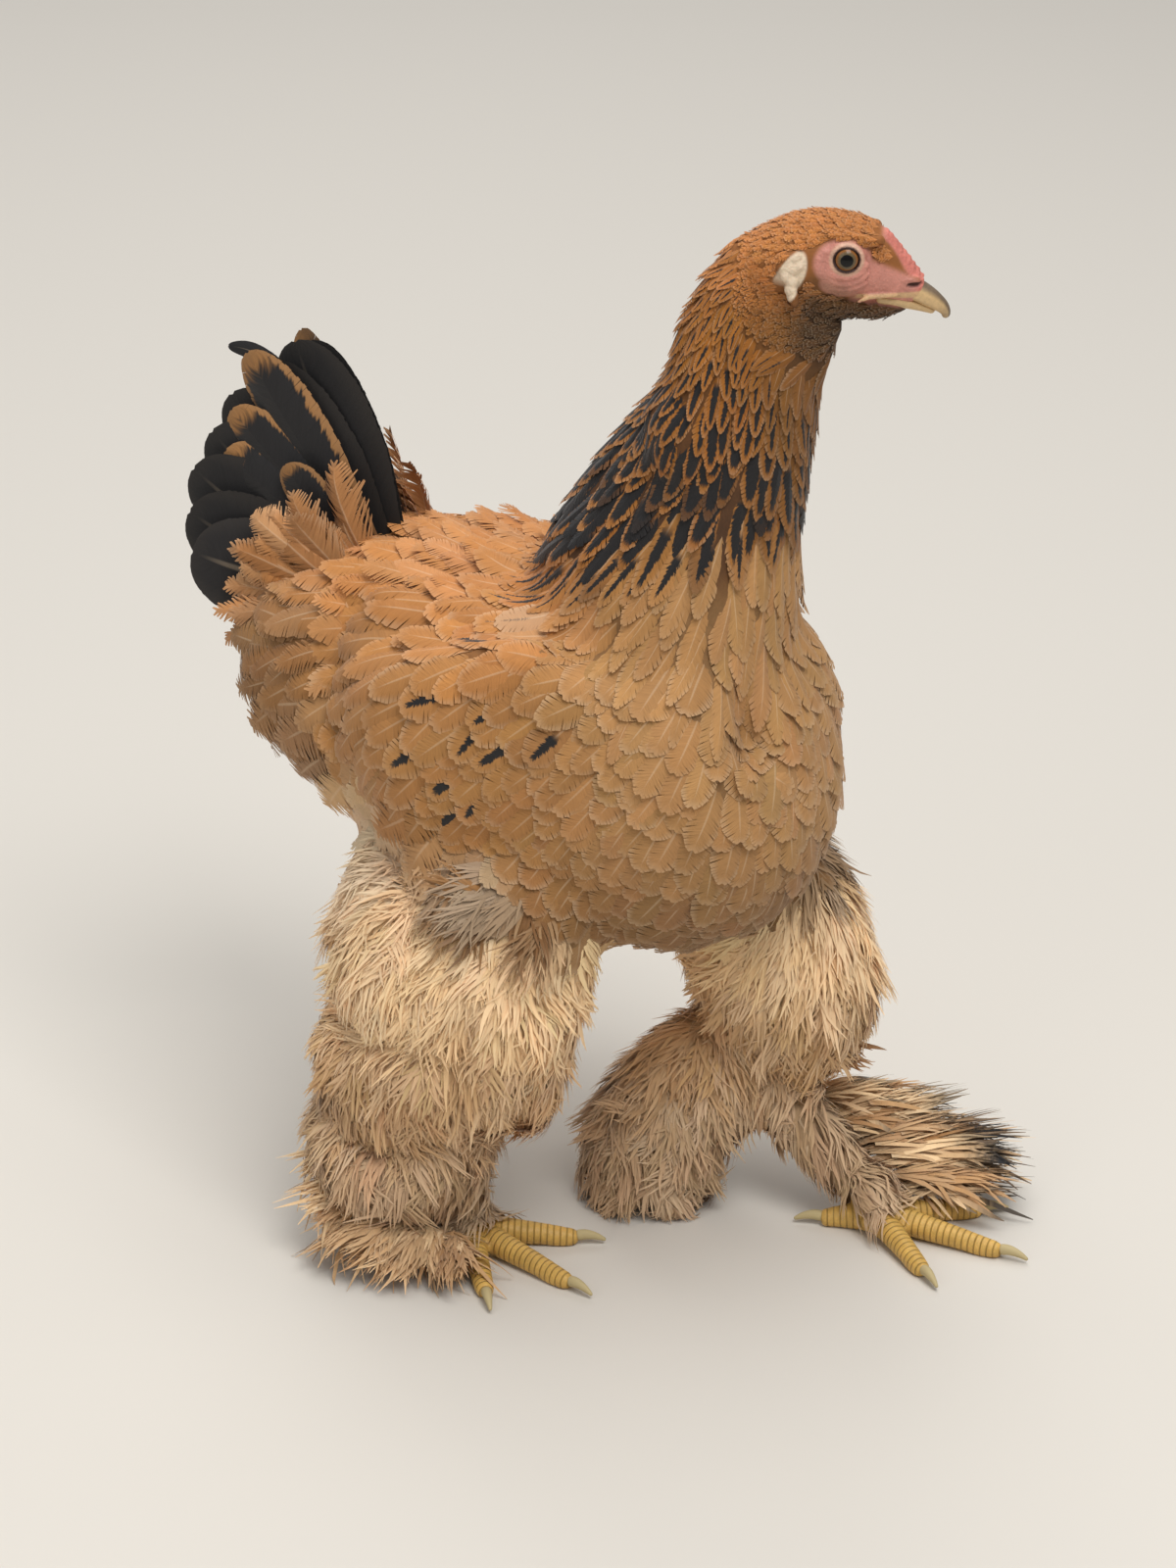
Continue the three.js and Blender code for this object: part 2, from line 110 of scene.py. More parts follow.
# Nodes that the skin stands for
BODY_NODES = ["trunk", "neck", "wing_left", "wing_right"]
LEG_NODES = [part + "_" + label for label, _ in SIDES for part in ("thigh", "hock_fluff", "shank")]
HEAD_NODES = ["head", "comb"] + [part + "_" + label for label, _ in SIDES for part in ("earlobe", "wattle")]
TOE_NODES = ["toe_" + label + "_" + toe for label, _ in SIDES for toe in TOES]


def at(forward, left, up):
    """A scene point from its place on the hen in millimetres."""
    return np.array([left - CENTRE_LEFT, CENTRE_FORWARD - forward, up]) * MILLI


def along(forward, left, up):
    """A direction in the scene from one on the hen."""
    return np.array([left, -forward, up], float)


def on_hen(points):
    """Forward, left and up in millimetres, for scene points."""
    mm = np.asarray(points) / MILLI
    return CENTRE_FORWARD - mm[..., 1], mm[..., 0] + CENTRE_LEFT, mm[..., 2]


def unit(vectors):
    """The same directions at a length of 1."""
    vectors = np.asarray(vectors, float)
    return vectors / np.maximum(np.linalg.norm(vectors, axis=-1, keepdims=True), 1e-9)


def ramp(value, low, high):
    """0 below low, 1 above high and smooth between. High may be less than low."""
    share = np.clip((value - low) / (high - low), 0, 1)
    return share * share * (3 - 2 * share)


def linear(red, green, blue):
    """A colour as a render uses it, from one on a screen."""
    screen = np.array([red, green, blue]) / 255
    return np.where(screen <= 0.04045, screen / 12.92, ((screen + 0.055) / 1.055) ** 2.4)


def head_axes():
    """The head's own beakward, left and up directions."""
    yaw = math.radians(HEAD_YAW - 90)
    pitch = math.radians(HEAD_PITCH)
    beakward = np.array([math.cos(pitch) * math.cos(yaw), math.cos(pitch) * math.sin(yaw), -math.sin(pitch)])
    leftward = np.array([-math.sin(yaw), math.cos(yaw), 0.0])
    return beakward, leftward, np.cross(beakward, leftward)


HEAD_AXES = np.array(head_axes())


def in_head(points):
    """Scene points from points in the head's own frame, as beakward, left and up in millimetres."""
    return at(*HEAD_AT) + (np.asarray(points, float) * MILLI) @ HEAD_AXES


def to_head(points):
    """The head's own millimetres for scene points."""
    return ((np.asarray(points) - at(*HEAD_AT)) @ HEAD_AXES.T) / MILLI


# Meshes

def new_object(name, points, faces, smooth=True):
    """A mesh object in the scene from its points and faces."""
    mesh = bpy.data.meshes.new(name)
    mesh.from_pydata(np.asarray(points).tolist(), [], [list(map(int, face)) for face in faces])
    mesh.update()
    if smooth:
        mesh.polygons.foreach_set("use_smooth", [True] * len(mesh.polygons))
    made = bpy.data.objects.new(name, mesh)
    bpy.context.scene.collection.objects.link(made)
    return made


def vertices_of(made):
    points = np.empty(len(made.data.vertices) * 3)
    made.data.vertices.foreach_get("co", points)
    return points.reshape(-1, 3)


def set_vertices(made, points):
    made.data.vertices.foreach_set("co", np.ascontiguousarray(points, dtype=float).ravel())
    made.data.update()


def normals_of(made):
    normals = np.empty(len(made.data.vertices) * 3)
    made.data.vertex_normals.foreach_get("vector", normals)
    return normals.reshape(-1, 3)


def spline(stations, shares):
    """Smooth values through evenly spaced stations, at shares from 0 to 1 of the way."""
    stations = np.asarray(stations, float)
    return spline_weights(np.asarray(shares, float), len(stations)) @ stations


def spline_weights(shares, count):
    """How much each of a row of stations counts at each share, as a Catmull-Rom curve."""
    place = np.clip(shares, 0, 1.4) * (count - 1)
    start = np.clip(np.floor(place).astype(int), 0, count - 2)
    t = place - start
    basis = np.stack(
        [
            -0.5 * t**3 + t**2 - 0.5 * t,
            1.5 * t**3 - 2.5 * t**2 + 1,
            -1.5 * t**3 + 2 * t**2 + 0.5 * t,
            0.5 * t**3 - 0.5 * t**2,
        ],
        axis=1,
    )
    weights = np.zeros((len(shares), count))
    rows = np.arange(len(shares))
    for offset in range(4):
        index = start + offset - 1
        before = index < 0
        after = index > count - 1
        inside = ~before & ~after
        np.add.at(weights, (rows[inside], index[inside]), basis[inside, offset])
        np.add.at(weights, (rows[before], 0), 2 * basis[before, offset])
        np.add.at(weights, (rows[before], 1), -basis[before, offset])
        np.add.at(weights, (rows[after], count - 1), 2 * basis[after, offset])
        np.add.at(weights, (rows[after], count - 2), -basis[after, offset])
    return weights


def squared_off(wave, power):
    """A sine or cosine bent so that a power above 2 makes a round section squarer."""
    return np.sign(wave) * np.abs(wave) ** (2 / power)


def tube(centres, across, above, side, below=None, rings=24, sides=20, caps=(0.1, 0.1), power=2.0):
    """A closed tube through stations, as points, faces and each point's share along and angle round."""
    cap_rings = 4
    quarter = 1 - np.cos(np.linspace(0, np.pi / 2, cap_rings + 1)[1:])
    shares = np.concatenate(
        [caps[0] * quarter, np.linspace(caps[0], 1 - caps[1], rings)[1:-1], 1 - caps[1] * quarter[::-1]]
    )
    below = above if below is None else below
    path = spline(np.asarray(centres, float), shares)
    sizes = spline(np.stack([across, above, below], axis=1), shares)
    tangents = unit(np.gradient(path, axis=0))
    ups = unit(np.cross(tangents, side))
    ups = np.where(((ups @ np.array([0, 0, 1.0])) < 0)[:, None], -ups, ups)
    outs = unit(np.cross(ups, tangents))
    starts = np.sqrt(1 - (1 - np.minimum(shares / caps[0], 1)) ** 2)
    ends = np.sqrt(1 - (1 - np.minimum((1 - shares) / caps[1], 1)) ** 2)
    scale = (starts * ends)[:, None]
    angles = np.linspace(0, 2 * np.pi, sides, endpoint=False)
    x = squared_off(np.cos(angles), power)[None] * sizes[:, :1] * scale
    height = np.where(np.sin(angles)[None] > 0, sizes[:, 1:2], sizes[:, 2:3])
    y = squared_off(np.sin(angles), power)[None] * height * scale
    points = path[:, None] + outs[:, None] * x[..., None] + ups[:, None] * y[..., None]
    count = len(shares)
    ends_at = np.asarray([centres[0], centres[-1]], float)
    points = np.concatenate([ends_at[:1], points.reshape(-1, 3), ends_at[1:]])
    faces = ring_faces(count, sides)
    way = np.concatenate([[0], np.repeat(shares, sides), [1]])
    turn = np.concatenate([[0], np.tile(angles, count), [0]])
    return points, faces, way, turn


def ring_faces(count, sides):
    """Faces between rings of points, and the fans that close both ends."""
    faces = []
    last = count * sides + 1
    for i in range(sides):
        j = (i + 1) % sides
        faces.append((0, 1 + j, 1 + i))
        for ring in range(count - 1):
            a = 1 + ring * sides
            faces.append((a + i, a + j, a + sides + j, a + sides + i))
        a = 1 + (count - 1) * sides
        faces.append((a + i, a + j, last))
    return faces


def ball(centre, radii, rings=12, sides=16):
    """A closed ellipsoid."""
    angles = np.linspace(0, np.pi, rings + 1)[1:-1]
    round_ = np.linspace(0, 2 * np.pi, sides, endpoint=False)
    x = np.sin(angles)[:, None] * np.cos(round_)
    y = np.sin(angles)[:, None] * np.sin(round_)
    z = np.repeat(np.cos(angles)[:, None], sides, axis=1)
    points = np.stack([x, y, z], axis=-1).reshape(-1, 3)
    points = np.concatenate([[[0, 0, 1]], points, [[0, 0, -1]]])
    return points * np.asarray(radii) + np.asarray(centre), ring_faces(rings - 1, sides)


def hoop(centre, radius, thickness, spread=(1.0, 1.0), start=0.0, end=2 * np.pi):
    """A row of overlapping balls in the head's side plane, for a lid or a fold round the eye."""
    parts = []
    for angle in np.linspace(start, end, int(abs(end - start) * radius / thickness * 1.6) + 2):
        x = centre[0] + math.cos(angle) * radius * spread[0]
        z = centre[2] + math.sin(angle) * radius * spread[1]
        parts.append(ball((x, centre[1], z), (thickness,) * 3, 6, 8))
    return parts


def bead_row(start, end, count, thickness):
    """A row of balls from one point to another."""
    shares = np.linspace(0, 1, count)[:, None]
    centres = np.asarray(start) * (1 - shares) + np.asarray(end) * shares
    sizes = np.interp(shares[:, 0], [0, 1], thickness)
    return [ball(centre, (size,) * 3, 6, 8) for centre, size in zip(centres, sizes)]


def joined(parts):
    """Several closed shapes as one list of points and faces."""
    points = []
    faces = []
    count = 0
    for part in parts:
        points.append(part[0])
        faces.extend([tuple(index + count for index in face) for face in part[1]])
        count += len(part[0])
    return np.concatenate(points), faces


def outward(made):
    """Turns every face of a closed shape outward."""
    mesh = bmesh.new()
    mesh.from_mesh(made.data)
    bmesh.ops.recalc_face_normals(mesh, faces=mesh.faces)
    mesh.to_mesh(made.data)
    mesh.free()


def apply_modifiers(made):
    """Makes what the modifiers show the object's own mesh."""
    graph = bpy.context.evaluated_depsgraph_get()
    result = bpy.data.meshes.new_from_object(made.evaluated_get(graph))
    made.modifiers.clear()
    made.data = result


def remeshed(made, voxel, smoothing=0):
    """Turns overlapping closed shapes into one surface of even faces, and smooths it."""
    remesh = made.modifiers.new("remesh", "REMESH")
    remesh.mode = "VOXEL"
    remesh.voxel_size = voxel
    if smoothing:
        smooth = made.modifiers.new("smooth", "SMOOTH")
        smooth.factor = 0.5
        smooth.iterations = smoothing
    apply_modifiers(made)
    return made


def united(made, other):
    """Adds another closed shape to this one, with a joint but no gap."""
    union = made.modifiers.new("union", "BOOLEAN")
    union.operation = "UNION"
    union.solver = "MANIFOLD"
    union.object = other
    apply_modifiers(made)
    bpy.data.objects.remove(other)
    if not made.data.polygons:
        raise RuntimeError("the union of the skin's pieces came out empty")


# Skin

def body_form():
    """The plumage's outline from the CAD, smoothed, then drawn in by the coat's depth."""
    points = []
    faces = []
    count = 0
    for name in BODY_NODES + LEG_NODES:
        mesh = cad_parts[name].data
        points.extend(vertex.co[:] for vertex in mesh.vertices)
        faces.extend([index + count for index in face.vertices] for face in mesh.polygons)
        count += len(mesh.vertices)
    for x, z, across, deep, tall in NAPE_AND_THROAT:
        more, around = ball((x, 0, z), (deep, across, tall))
        points.extend(in_head(more).tolist())
        faces.extend([index + count for index in face] for face in around)
        count += len(more)
    for forward, left, up, *reach in LEG_LOBES:
        more, around = ball(at(forward, left, up), np.array([reach[1], reach[0], reach[2]]) * MILLI)
        points.extend(more.tolist())
        faces.extend([index + count for index in face] for face in around)
        count += len(more)
    form = new_object("body_form", points, faces)
    weld = form.modifiers.new("weld", "WELD")
    weld.merge_threshold = 0.00001
    remeshed(form, BODY_VOXEL, 6)
    places = vertices_of(form)
    depth = (coat_depth(places) + fold_depth(places)) * MILLI
    set_vertices(form, places - normals_of(form) * depth[:, None])
    return remeshed(form, BODY_VOXEL, 3)


# Swellings of the plumage behind and under the head: beakward, up, across, deep and tall, in its frame
NAPE_AND_THROAT = [
    (-39, -12, 16, 17, 18), (-45, -31, 19, 20, 22), (-49, -50, 21, 22, 24), (-51, -68, 24, 20, 28),
    (-56, -92, 27, 22, 30), (-3, -36, 12, 14, 13), (-7, -50, 15, 14, 18),
]
# Lobes of the leg's plumage, as forward, left, up and their reach each way
LEG_LOBES = [
    (-45, -64, 110, 23, 22, 36), (-118, -96, 110, 26, 24, 34), (-124, -90, 52, 26, 24, 24),
    (30, 84, 128, 24, 24, 34),
]

# Grooves in the plumage: points along each, radius, depth, and whether it is on both sides
FOLDS = [
    ([(60, -31, 392), (66, -30, 345), (68, -27, 292)], 19, 20, False),
    ([(-143, -66, 322), (-141, -98, 280), (-112, -102, 224)], 17, 19, True),
    ([(-139, -95, 234), (-84, -104, 208), (-62, -100, 170), (0, -78, 162)], 16, 13, True),
    ([(-46, -114, 142), (-44, -112, 82)], 17, 14, False),
    ([(-150, -92, 142), (-105, -124, 126), (-60, -122, 136)], 15, 11, False),
    ([(-146, -95, 78), (-100, -120, 70), (-55, -108, 74)], 15, 12, False),
    ([(36, 20, 96), (50, 66, 96), (44, 100, 104)], 15, 9, False),
]


def fold_depth(points):
    """How far each place is drawn in by the folds, in millimetres."""
    depth = np.zeros(len(points))
    for line, radius, deepest, both in FOLDS:
        for side in (1, -1) if both else (1,):
            stations = [(forward, side * left, up) for forward, left, up in line]
            path = spline(np.array([at(*station) for station in stations]), np.linspace(0, 1, 40))
            far = np.full(len(points), 1.0)
            for place in path:
                far = np.minimum(far, np.linalg.norm(points - place, axis=1))
            depth = np.maximum(depth, deepest * ramp(far / MILLI, radius, 0))
    return depth


def coat_depth(points):
    """How deep the plumage is over the skin, in millimetres."""
    forward, left, up = on_hen(points)
    depth = 5.5 - 2.0 * ramp(up, 360, 420)
    depth = np.where(up < 180, 6.0, depth)
    return depth - 4.0 * in_wing(points)


def in_wing(points):
    """1 over a folded wing, 0 away from it."""
    forward, left, up = on_hen(points)
    top = np.interp(forward, [-134, -16, 0], [332, 345, 345])
    low = np.interp(forward, [-134, -102, -78, -70, -33, -16], [254, 227, 230, 262, 318, 345])
    inside = ramp(forward, -140, -130) * ramp(forward, -14, -22)
    return inside * ramp(up - low, -5, 3) * ramp(top - up, -4, 4) * ramp(np.abs(left), 42, 52)


def head_form():
    """Head: skull, lids, brow, comb, lobes, wattles and folds, at fine detail."""
    x = [-46, -34, -22, -10, 2, 13, 23, 31, 37]
    z = [-14, -10, -7, -5, -5, -7, -10.5, -13.5, -16]
    across = [12, 15.5, 17, 17, 15.6, 12.6, 9.4, 7.4, 5.6]
    above = [9, 14, 18.5, 20.5, 20.5, 18, 12, 8, 5]
    below = [14, 18, 20.5, 22, 19.5, 15.5, 11, 8, 5]
    centres = np.stack([x, np.zeros(9), z], axis=1)
    parts = [tube(centres, across, above, (0, 1, 0), below, 26, 32, (0.12, 0.08))[:2]]
    for _, side in SIDES:
        eye = (0, side * 15.2, 0)
        parts.append(ball((-1, side * 10.2, 0.6), (11.5, 6.6, 9.8), 14, 20))
        parts += hoop(eye, 6.7, 1.5, (1.04, 0.94))
        parts += hoop((0, side * 16.5, 0), 6.1, 0.8, (1.06, 0.92))
        parts += hoop((-0.4, side * 15.6, -0.4), 8.9, 1.2, (1.08, 0.95), math.radians(165), math.radians(355))
        parts += hoop((-1.0, side * 14.7, -0.8), 11.4, 1.2, (1.1, 0.98), math.radians(170), math.radians(335))
        parts += hoop((-1.4, side * 13.8, -1.2), 14.0, 1.0, (1.1, 0.98), math.radians(190), math.radians(320))
        parts += bead_row((-11, side * 12.8, 8.2), (13, side * 11, 8.6), 10, [2.2, 2.9])
        parts += bead_row((13, side * 9.9, -17.6), (25, side * 7.9, -15.8), 12, [1.3, 1.0])
        parts += bead_row((13, side * 9.9, -17.6), (9, side * 11, -20), 4, [1.3, 0.9])
        parts += bead_row((22, side * 7.6, -9.5), (33, side * 5.6, -8.2), 9, [2.2, 1.9])
        parts += earlobe_form(side)
        parts.append(ball((7, side * 5.2, -24), (6.5, 2.2, 3.6), 8, 12))
    parts += comb_form()
    parts.append(ball((-2, 0, -24), (17, 9.5, 8), 12, 16))
    parts.append(ball((14, 0, -24), (13, 7.2, 6), 12, 16))
    parts.append(ball((23, 0, -22.6), (9, 5.6, 3.6), 12, 16))
    parts.append(ball((-20, 0, -24), (14, 13, 13), 12, 16))
    points, faces = joined(parts)
    form = new_object("head_form", in_head(points), faces)
    outward(form)
    return remeshed(form, HEAD_VOXEL, 1)


def earlobe_form(side):
    """A pale lobe of small swellings, with a narrow pendant part below it."""
    lumps = [
        (-26.5, -3.2, 3.6), (-22.8, -2.2, 3.2), (-28, -6.6, 3.0), (-23.6, -6.8, 4.2), (-20.4, -5.6, 2.6),
        (-25, -10.6, 3.2), (-22, -13.2, 3.0), (-22, -16.8, 3.0), (-20.6, -20, 2.8), (-19.4, -22.6, 2.2),
    ]
    return [ball((x, side * 16.6, z), (size, 2.7, size), 8, 12) for x, z, size in lumps]


def comb_form():
    """A pea comb: three rows of low beads, the middle one highest."""
    parts = []
    for row, height in ((-3.1, -0.9), (0, 0.4), (3.1, -0.9)):
        for i, share in enumerate(np.linspace(0, 1, 9)):
            x = 16.5 + 18.5 * share
            z = 9.2 - 15.2 * share - 2.2 * share * share + height
            size = 2.1 * (1 - 0.35 * share) * (1 + 0.12 * (i % 2))
            parts.append(ball((x, row * (1 - 0.25 * share), z), (1.9, size * 0.9, size), 8, 10))
    return parts


def foot_origin(label):
    """Where the middle of a foot stands on the floor."""
    forward, left = FOOT_AT[label]
    return at(forward, left, 0)


def foot_point(label, heading, distance, up):
    """A scene point at a heading and distance from the middle of a foot."""
    side = dict(SIDES)[label]
    angle = math.radians(heading + TOE_TURN[label])
    step = along(distance * math.cos(angle), side * distance * math.sin(angle), up)
    return foot_origin(label) + step * MILLI


def toe_form(label, name):
    """A toe with plates across its top, pads under its joints and a flat on the floor."""
    heading, length = TOES[name]
    thickness = np.array([1.0, 1.02, 0.98, 0.9, 0.82, 0.72, 0.62]) * TOE_RADIUS
    shares = np.linspace(0.02, 1, 7)
    arch = np.array([2.6, 2.0, 1.2, 0.8, 0.5, 0.2, -0.1]) * (0.4 if name == "hind" else 1)
    centres = [
        foot_point(label, heading, share * length, radius - 0.5 + lift) / MILLI
        for share, radius, lift in zip(shares, thickness, arch)
    ]
    side = np.cross(centres[-1] - centres[0], (0, 0, 1))
    points, faces, way, turn = tube(
        centres, thickness, thickness, side, rings=int(length * 1.5), sides=26, caps=(0.08, 0.07)
    )
    spine = spline(centres, way)
    plate = (way * length / 3.3) % 1.0
    top = ramp(np.sin(turn), 0.05, 0.6)
    pads = np.maximum(0, np.sin(way * math.pi * (3 if length > 30 else 1.5))) ** 2
    under = ramp(-np.sin(turn), 0.1, 0.8)
    swell = 1 + top * (0.075 * plate**0.6 - 0.04) + under * 0.1 * pads + 0.05 * pads * (1 - top)
    points = spine + (points - spine) * swell[:, None]
    points[:, 2] = np.maximum(points[:, 2], 0)
    return points * MILLI, faces


def foot_form(label):
    """A foot: its toes, their pad and the bare lower end of the shank."""
    parts = [toe_form(label, name) for name in TOES]
    pad = foot_origin(label) + np.array([0, 0, 0.0085])
    parts.append(ball(pad, np.array([12.5, 12.5, 9.0]) * MILLI, 16, 24))
    ankle = foot_point(label, 180, 6, 26)
    parts.append(ball((pad + ankle) / 2, np.array([9, 9, 13]) * MILLI, 16, 24))
    points, faces = joined(parts)
    form = new_object("foot_form", points, faces)
    outward(form)
    remeshed(form, FOOT_VOXEL, 1)
    flat = vertices_of(form)
    flat[:, 2] = np.maximum(flat[:, 2], 0)
    set_vertices(form, flat)
    return form


def skin_masks(points):
    """Where the skin is bare face, comb, lobe or scaled toe."""
    beakward, left, up = to_head(points).T
    forward, _, height = on_hen(points)
    aside = np.abs(left)
    on_head = ramp(np.linalg.norm(to_head(points) - [0, 0, -4], axis=1), 62, 48)
    eye_ring = ramp(np.hypot(beakward / 1.2 + 0.8, up + 2.6), 12.2, 9.6) * ramp(aside, 7, 10)
    lores = ramp(beakward, 3, 9) * ramp(up - (3.4 - 0.36 * beakward), 2.5, -1.0) * ramp(up, -24, -19)
    cheek = ramp(np.hypot((beakward - 2) / 1.4, (up + 12) / 0.8), 9.5, 7) * ramp(aside, 4, 7)
    ridge = ramp(beakward, 13, 17) * ramp(aside, 7.5, 5.5) * ramp(up - (8 - 0.9 * (beakward - 16)), -8, -4)
    face = np.clip(np.maximum.reduce([eye_ring, lores, cheek, ridge]), 0, 1) * on_head
    comb = ridge * on_head * ramp(beakward, 14, 18)
    lobe_x = (beakward + 23.5 - 0.22 * (up + 12)) / 6.6
    lobe_z = (up + 12) / 13.6
    lobe = ramp(lobe_x**2 + lobe_z**2, 1.05, 0.75) * ramp(aside, 14.5, 16.5) * on_head
    toes = ramp(height, 27, 20) * (1 - on_head)
    near_foot = np.zeros(len(points))
    for label, _ in SIDES:
        reach = np.linalg.norm((np.asarray(points) - foot_origin(label))[:, :2], axis=1) / MILLI
        near_foot = np.maximum(near_foot, ramp(reach, 88, 80))
    return {"face": face, "comb": comb, "lobe": lobe, "toes": toes * near_foot}


# Plumage


def paint(name):
    """A colour of the hen's settings."""
    return np.array(getattr(bpy.context.scene.hen, name))


def mix(first, second, share):
    """The first colour where the share is 0, the second where it is 1."""
    share = np.asarray(share)[..., None]
    return first * (1 - share) + second * share


def spot(points, forward, left, up, radius):
    """1 at a place on the hen, falling to 0 at a distance."""
    f, l, u = on_hen(points)
    far = np.sqrt((f - forward) ** 2 + (l - left) ** 2 + (u - up) ** 2)
    return ramp(far, radius, radius * 0.35)


def plumage_and_shade_colour(points):
    """The coat's colour at each place, the same for the skin and for the feathers rooted on it, with painted
    shade low on the legs, under the jaw and the head, low on the trunk, on the rump and in the grooves.
    """
    forward, left, up = on_hen(points)
    colour = np.repeat(paint("breast")[None], len(points), axis=0)
    colour = mix(colour, paint("side"), ramp(forward, 20, -50))
    colour = mix(colour, paint("saddle"), ramp(up, 285, 330) * ramp(forward, -20, -70))
    colour = mix(colour, paint("side"), ramp(forward, -190, -235) * ramp(up, 310, 270) * 0.6)
    border = np.interp(forward, [-200, -139, -84, -62, 0, 60], [220, 240, 218, 176, 170, 150])
    colour = mix(colour, paint("fluff"), ramp(up - border, 4, -10) * (1 - 0.65 * ramp(up, 178, 200)))
    pale = spot(points, -133, -95, 200, 46) + spot(points, -133, 95, 200, 46) * 0.5
    pale = pale + spot(points, -55, -105, 205, 28)
    colour = mix(colour, paint("pale"), np.clip(pale, 0, 1) * 0.7)
    # Painted shade low on the legs: a darker buff below the thighs, and greyer near the floor.
    colour = mix(colour, paint("side"), ramp(up, 130, 90) * 0.6)
    colour = mix(colour, paint("down"), ramp(up, 70, 36) * 0.3)
    neck = ramp(up - 0.25 * forward, 338, 368) * ramp(forward, -95, -60)
    colour = mix(colour, paint("hackle"), neck)
    # Partly painted shade under the head: the front of the neck turns to the throat's brown.
    colour = mix(colour, paint("throat_and_shade"), neck * ramp(forward, 34, 62) * 0.75)
    colour = mix(colour, paint("crown"), ramp(up, 480, 510))
    head = to_head(points)
    # Painted shadow under the jaw and the head: this band turns nearly black, a third of the throat's brown.
    throat_and_shade = ramp(head[:, 2], -18, -24) * ramp(head[:, 2], -62, -38) * ramp(head[:, 0], -24, -12)
    colour = mix(colour, paint("throat_and_shade") * 0.35, throat_and_shade * 0.85)
    # Painted shadow along the jaw, in the throat's brown.
    jaw_shade = ramp(np.hypot(head[:, 0] + 8, head[:, 2] + 17), 13, 7)
    colour = mix(colour, paint("throat_and_shade"), jaw_shade * 0.5)
    # Painted shade low on the trunk, above the fluff's border, where the body shades its own underside.
    colour = colour * (1 - 0.48 * ramp(up, 250, 175) * ramp(up - border, -6, 6))[:, None]
    # Painted shade on the rump, low under the tail.
    colour = colour * (1 - 0.34 * ramp(forward, -140, -190) * ramp(up, 315, 285))[:, None]
    # Painted shade in the grooves between wing, body and legs, stronger higher up.
    shade = 0.3 + 0.45 * ramp(up, 190, 240)
    return colour * (1 - shade * np.minimum(fold_depth(points) / 15, 1))[:, None]


def dark_share(points):
    """How much black the feathers show at each place: the hackle's stripes and the wing's flecks."""
    forward, left, up = on_hen(points)
    neck = ramp(up - 0.25 * forward, 338, 372) * ramp(forward, -95, -60)
    stripes = neck * (0.3 + 0.75 * ramp(up, 480, 395)) * ramp(up, 520, 495)
    front = neck * ramp(forward, 35, 66)
    return np.clip(stripes - 0.7 * front, 0, 1)


# Which way the feathers lie: a place on the hen, and the direction at it. Each is used on both sides.
LIE = [
    ((52, 0, 190), (-0.7, 0, -0.7)), ((70, 0, 300), (-0.05, 0, -1)), ((66, 40, 260), (-0.3, 0.1, -1)),
    ((40, 70, 300), (-0.6, 0.1, -0.9)), ((30, 70, 220), (-0.7, 0, -0.8)), ((0, 0, 160), (-1, 0, 0)),
    ((-10, 85, 300), (-0.85, 0, -0.75)), ((-50, 95, 260), (-0.8, 0, -0.9)),
    ((-100, 95, 270), (-0.8, 0, -0.9)),
    ((-110, 95, 240), (-0.3, 0, -1)), ((-60, 95, 210), (-0.7, 0, -0.7)), ((-60, 0, 352), (-1, 0, 0.05)),
    ((-60, 50, 335), (-1, 0.25, -0.25)), ((-120, 0, 345), (-1, 0, 0.35)),
    ((-120, 50, 330), (-1, 0.25, 0.1)),
    ((-130, 90, 290), (-1, 0, -0.45)), ((-180, 0, 330), (-1, 0, 0.6)), ((-190, 60, 300), (-0.9, 0.2, 0.1)),
    ((-190, 75, 260), (-0.8, 0, -0.7)), ((-235, 0, 290), (-0.5, 0, -0.8)), ((-230, 40, 260), (-0.4, 0, -1)),
    ((-190, 0, 210), (-0.8, 0, -0.6)), ((-120, 0, 175), (-1, 0, -0.1)), ((-120, 60, 200), (-0.7, 0, -0.7)),
    ((-40, 0, 370), (-0.9, 0, -0.35)), ((-30, 0, 420), (-0.6, 0, -1)), ((10, 0, 470), (-0.5, 0, -1)),
    ((5, 50, 380), (-0.5, 0.15, -1)), ((15, 38, 430), (-0.4, 0, -1)), ((35, 28, 480), (-0.35, 0, -1)),
    ((62, 0, 470), (-0.05, 0, -1)), ((70, 0, 420), (-0.02, 0, -1)), ((66, 0, 370), (0, 0, -1)),
]
# The same for each leg, where left and right differ.
LEG_LIE = [
    ((10, 100, 180), (-0.1, 0.1, -1)), ((50, 70, 150), (0.1, 0, -1)), ((-30, 60, 150), (-0.25, 0, -1)),
    ((20, 110, 110), (0, 0.05, -1)), ((-30, 30, 60), (-0.25, -0.05, -1)), ((10, 50, 60), (0.1, 0, -1)),
    ((-80, -125, 170), (-0.1, -0.05, -1)), ((-20, -80, 170), (0.05, 0, -1)),
    ((-140, -70, 170), (-0.2, 0, -1)),
    ((-100, -120, 100), (0, -0.05, -1)), ((-60, -80, 90), (0.05, 0, -1)), ((-140, -80, 70), (-0.1, 0, -1)),
    ((-90, -60, 40), (0, 0, -1)), ((40, 80, 50), (0.35, 0.4, -0.6)), ((60, 76, 30), (0.5, 0.5, -0.5)),
]


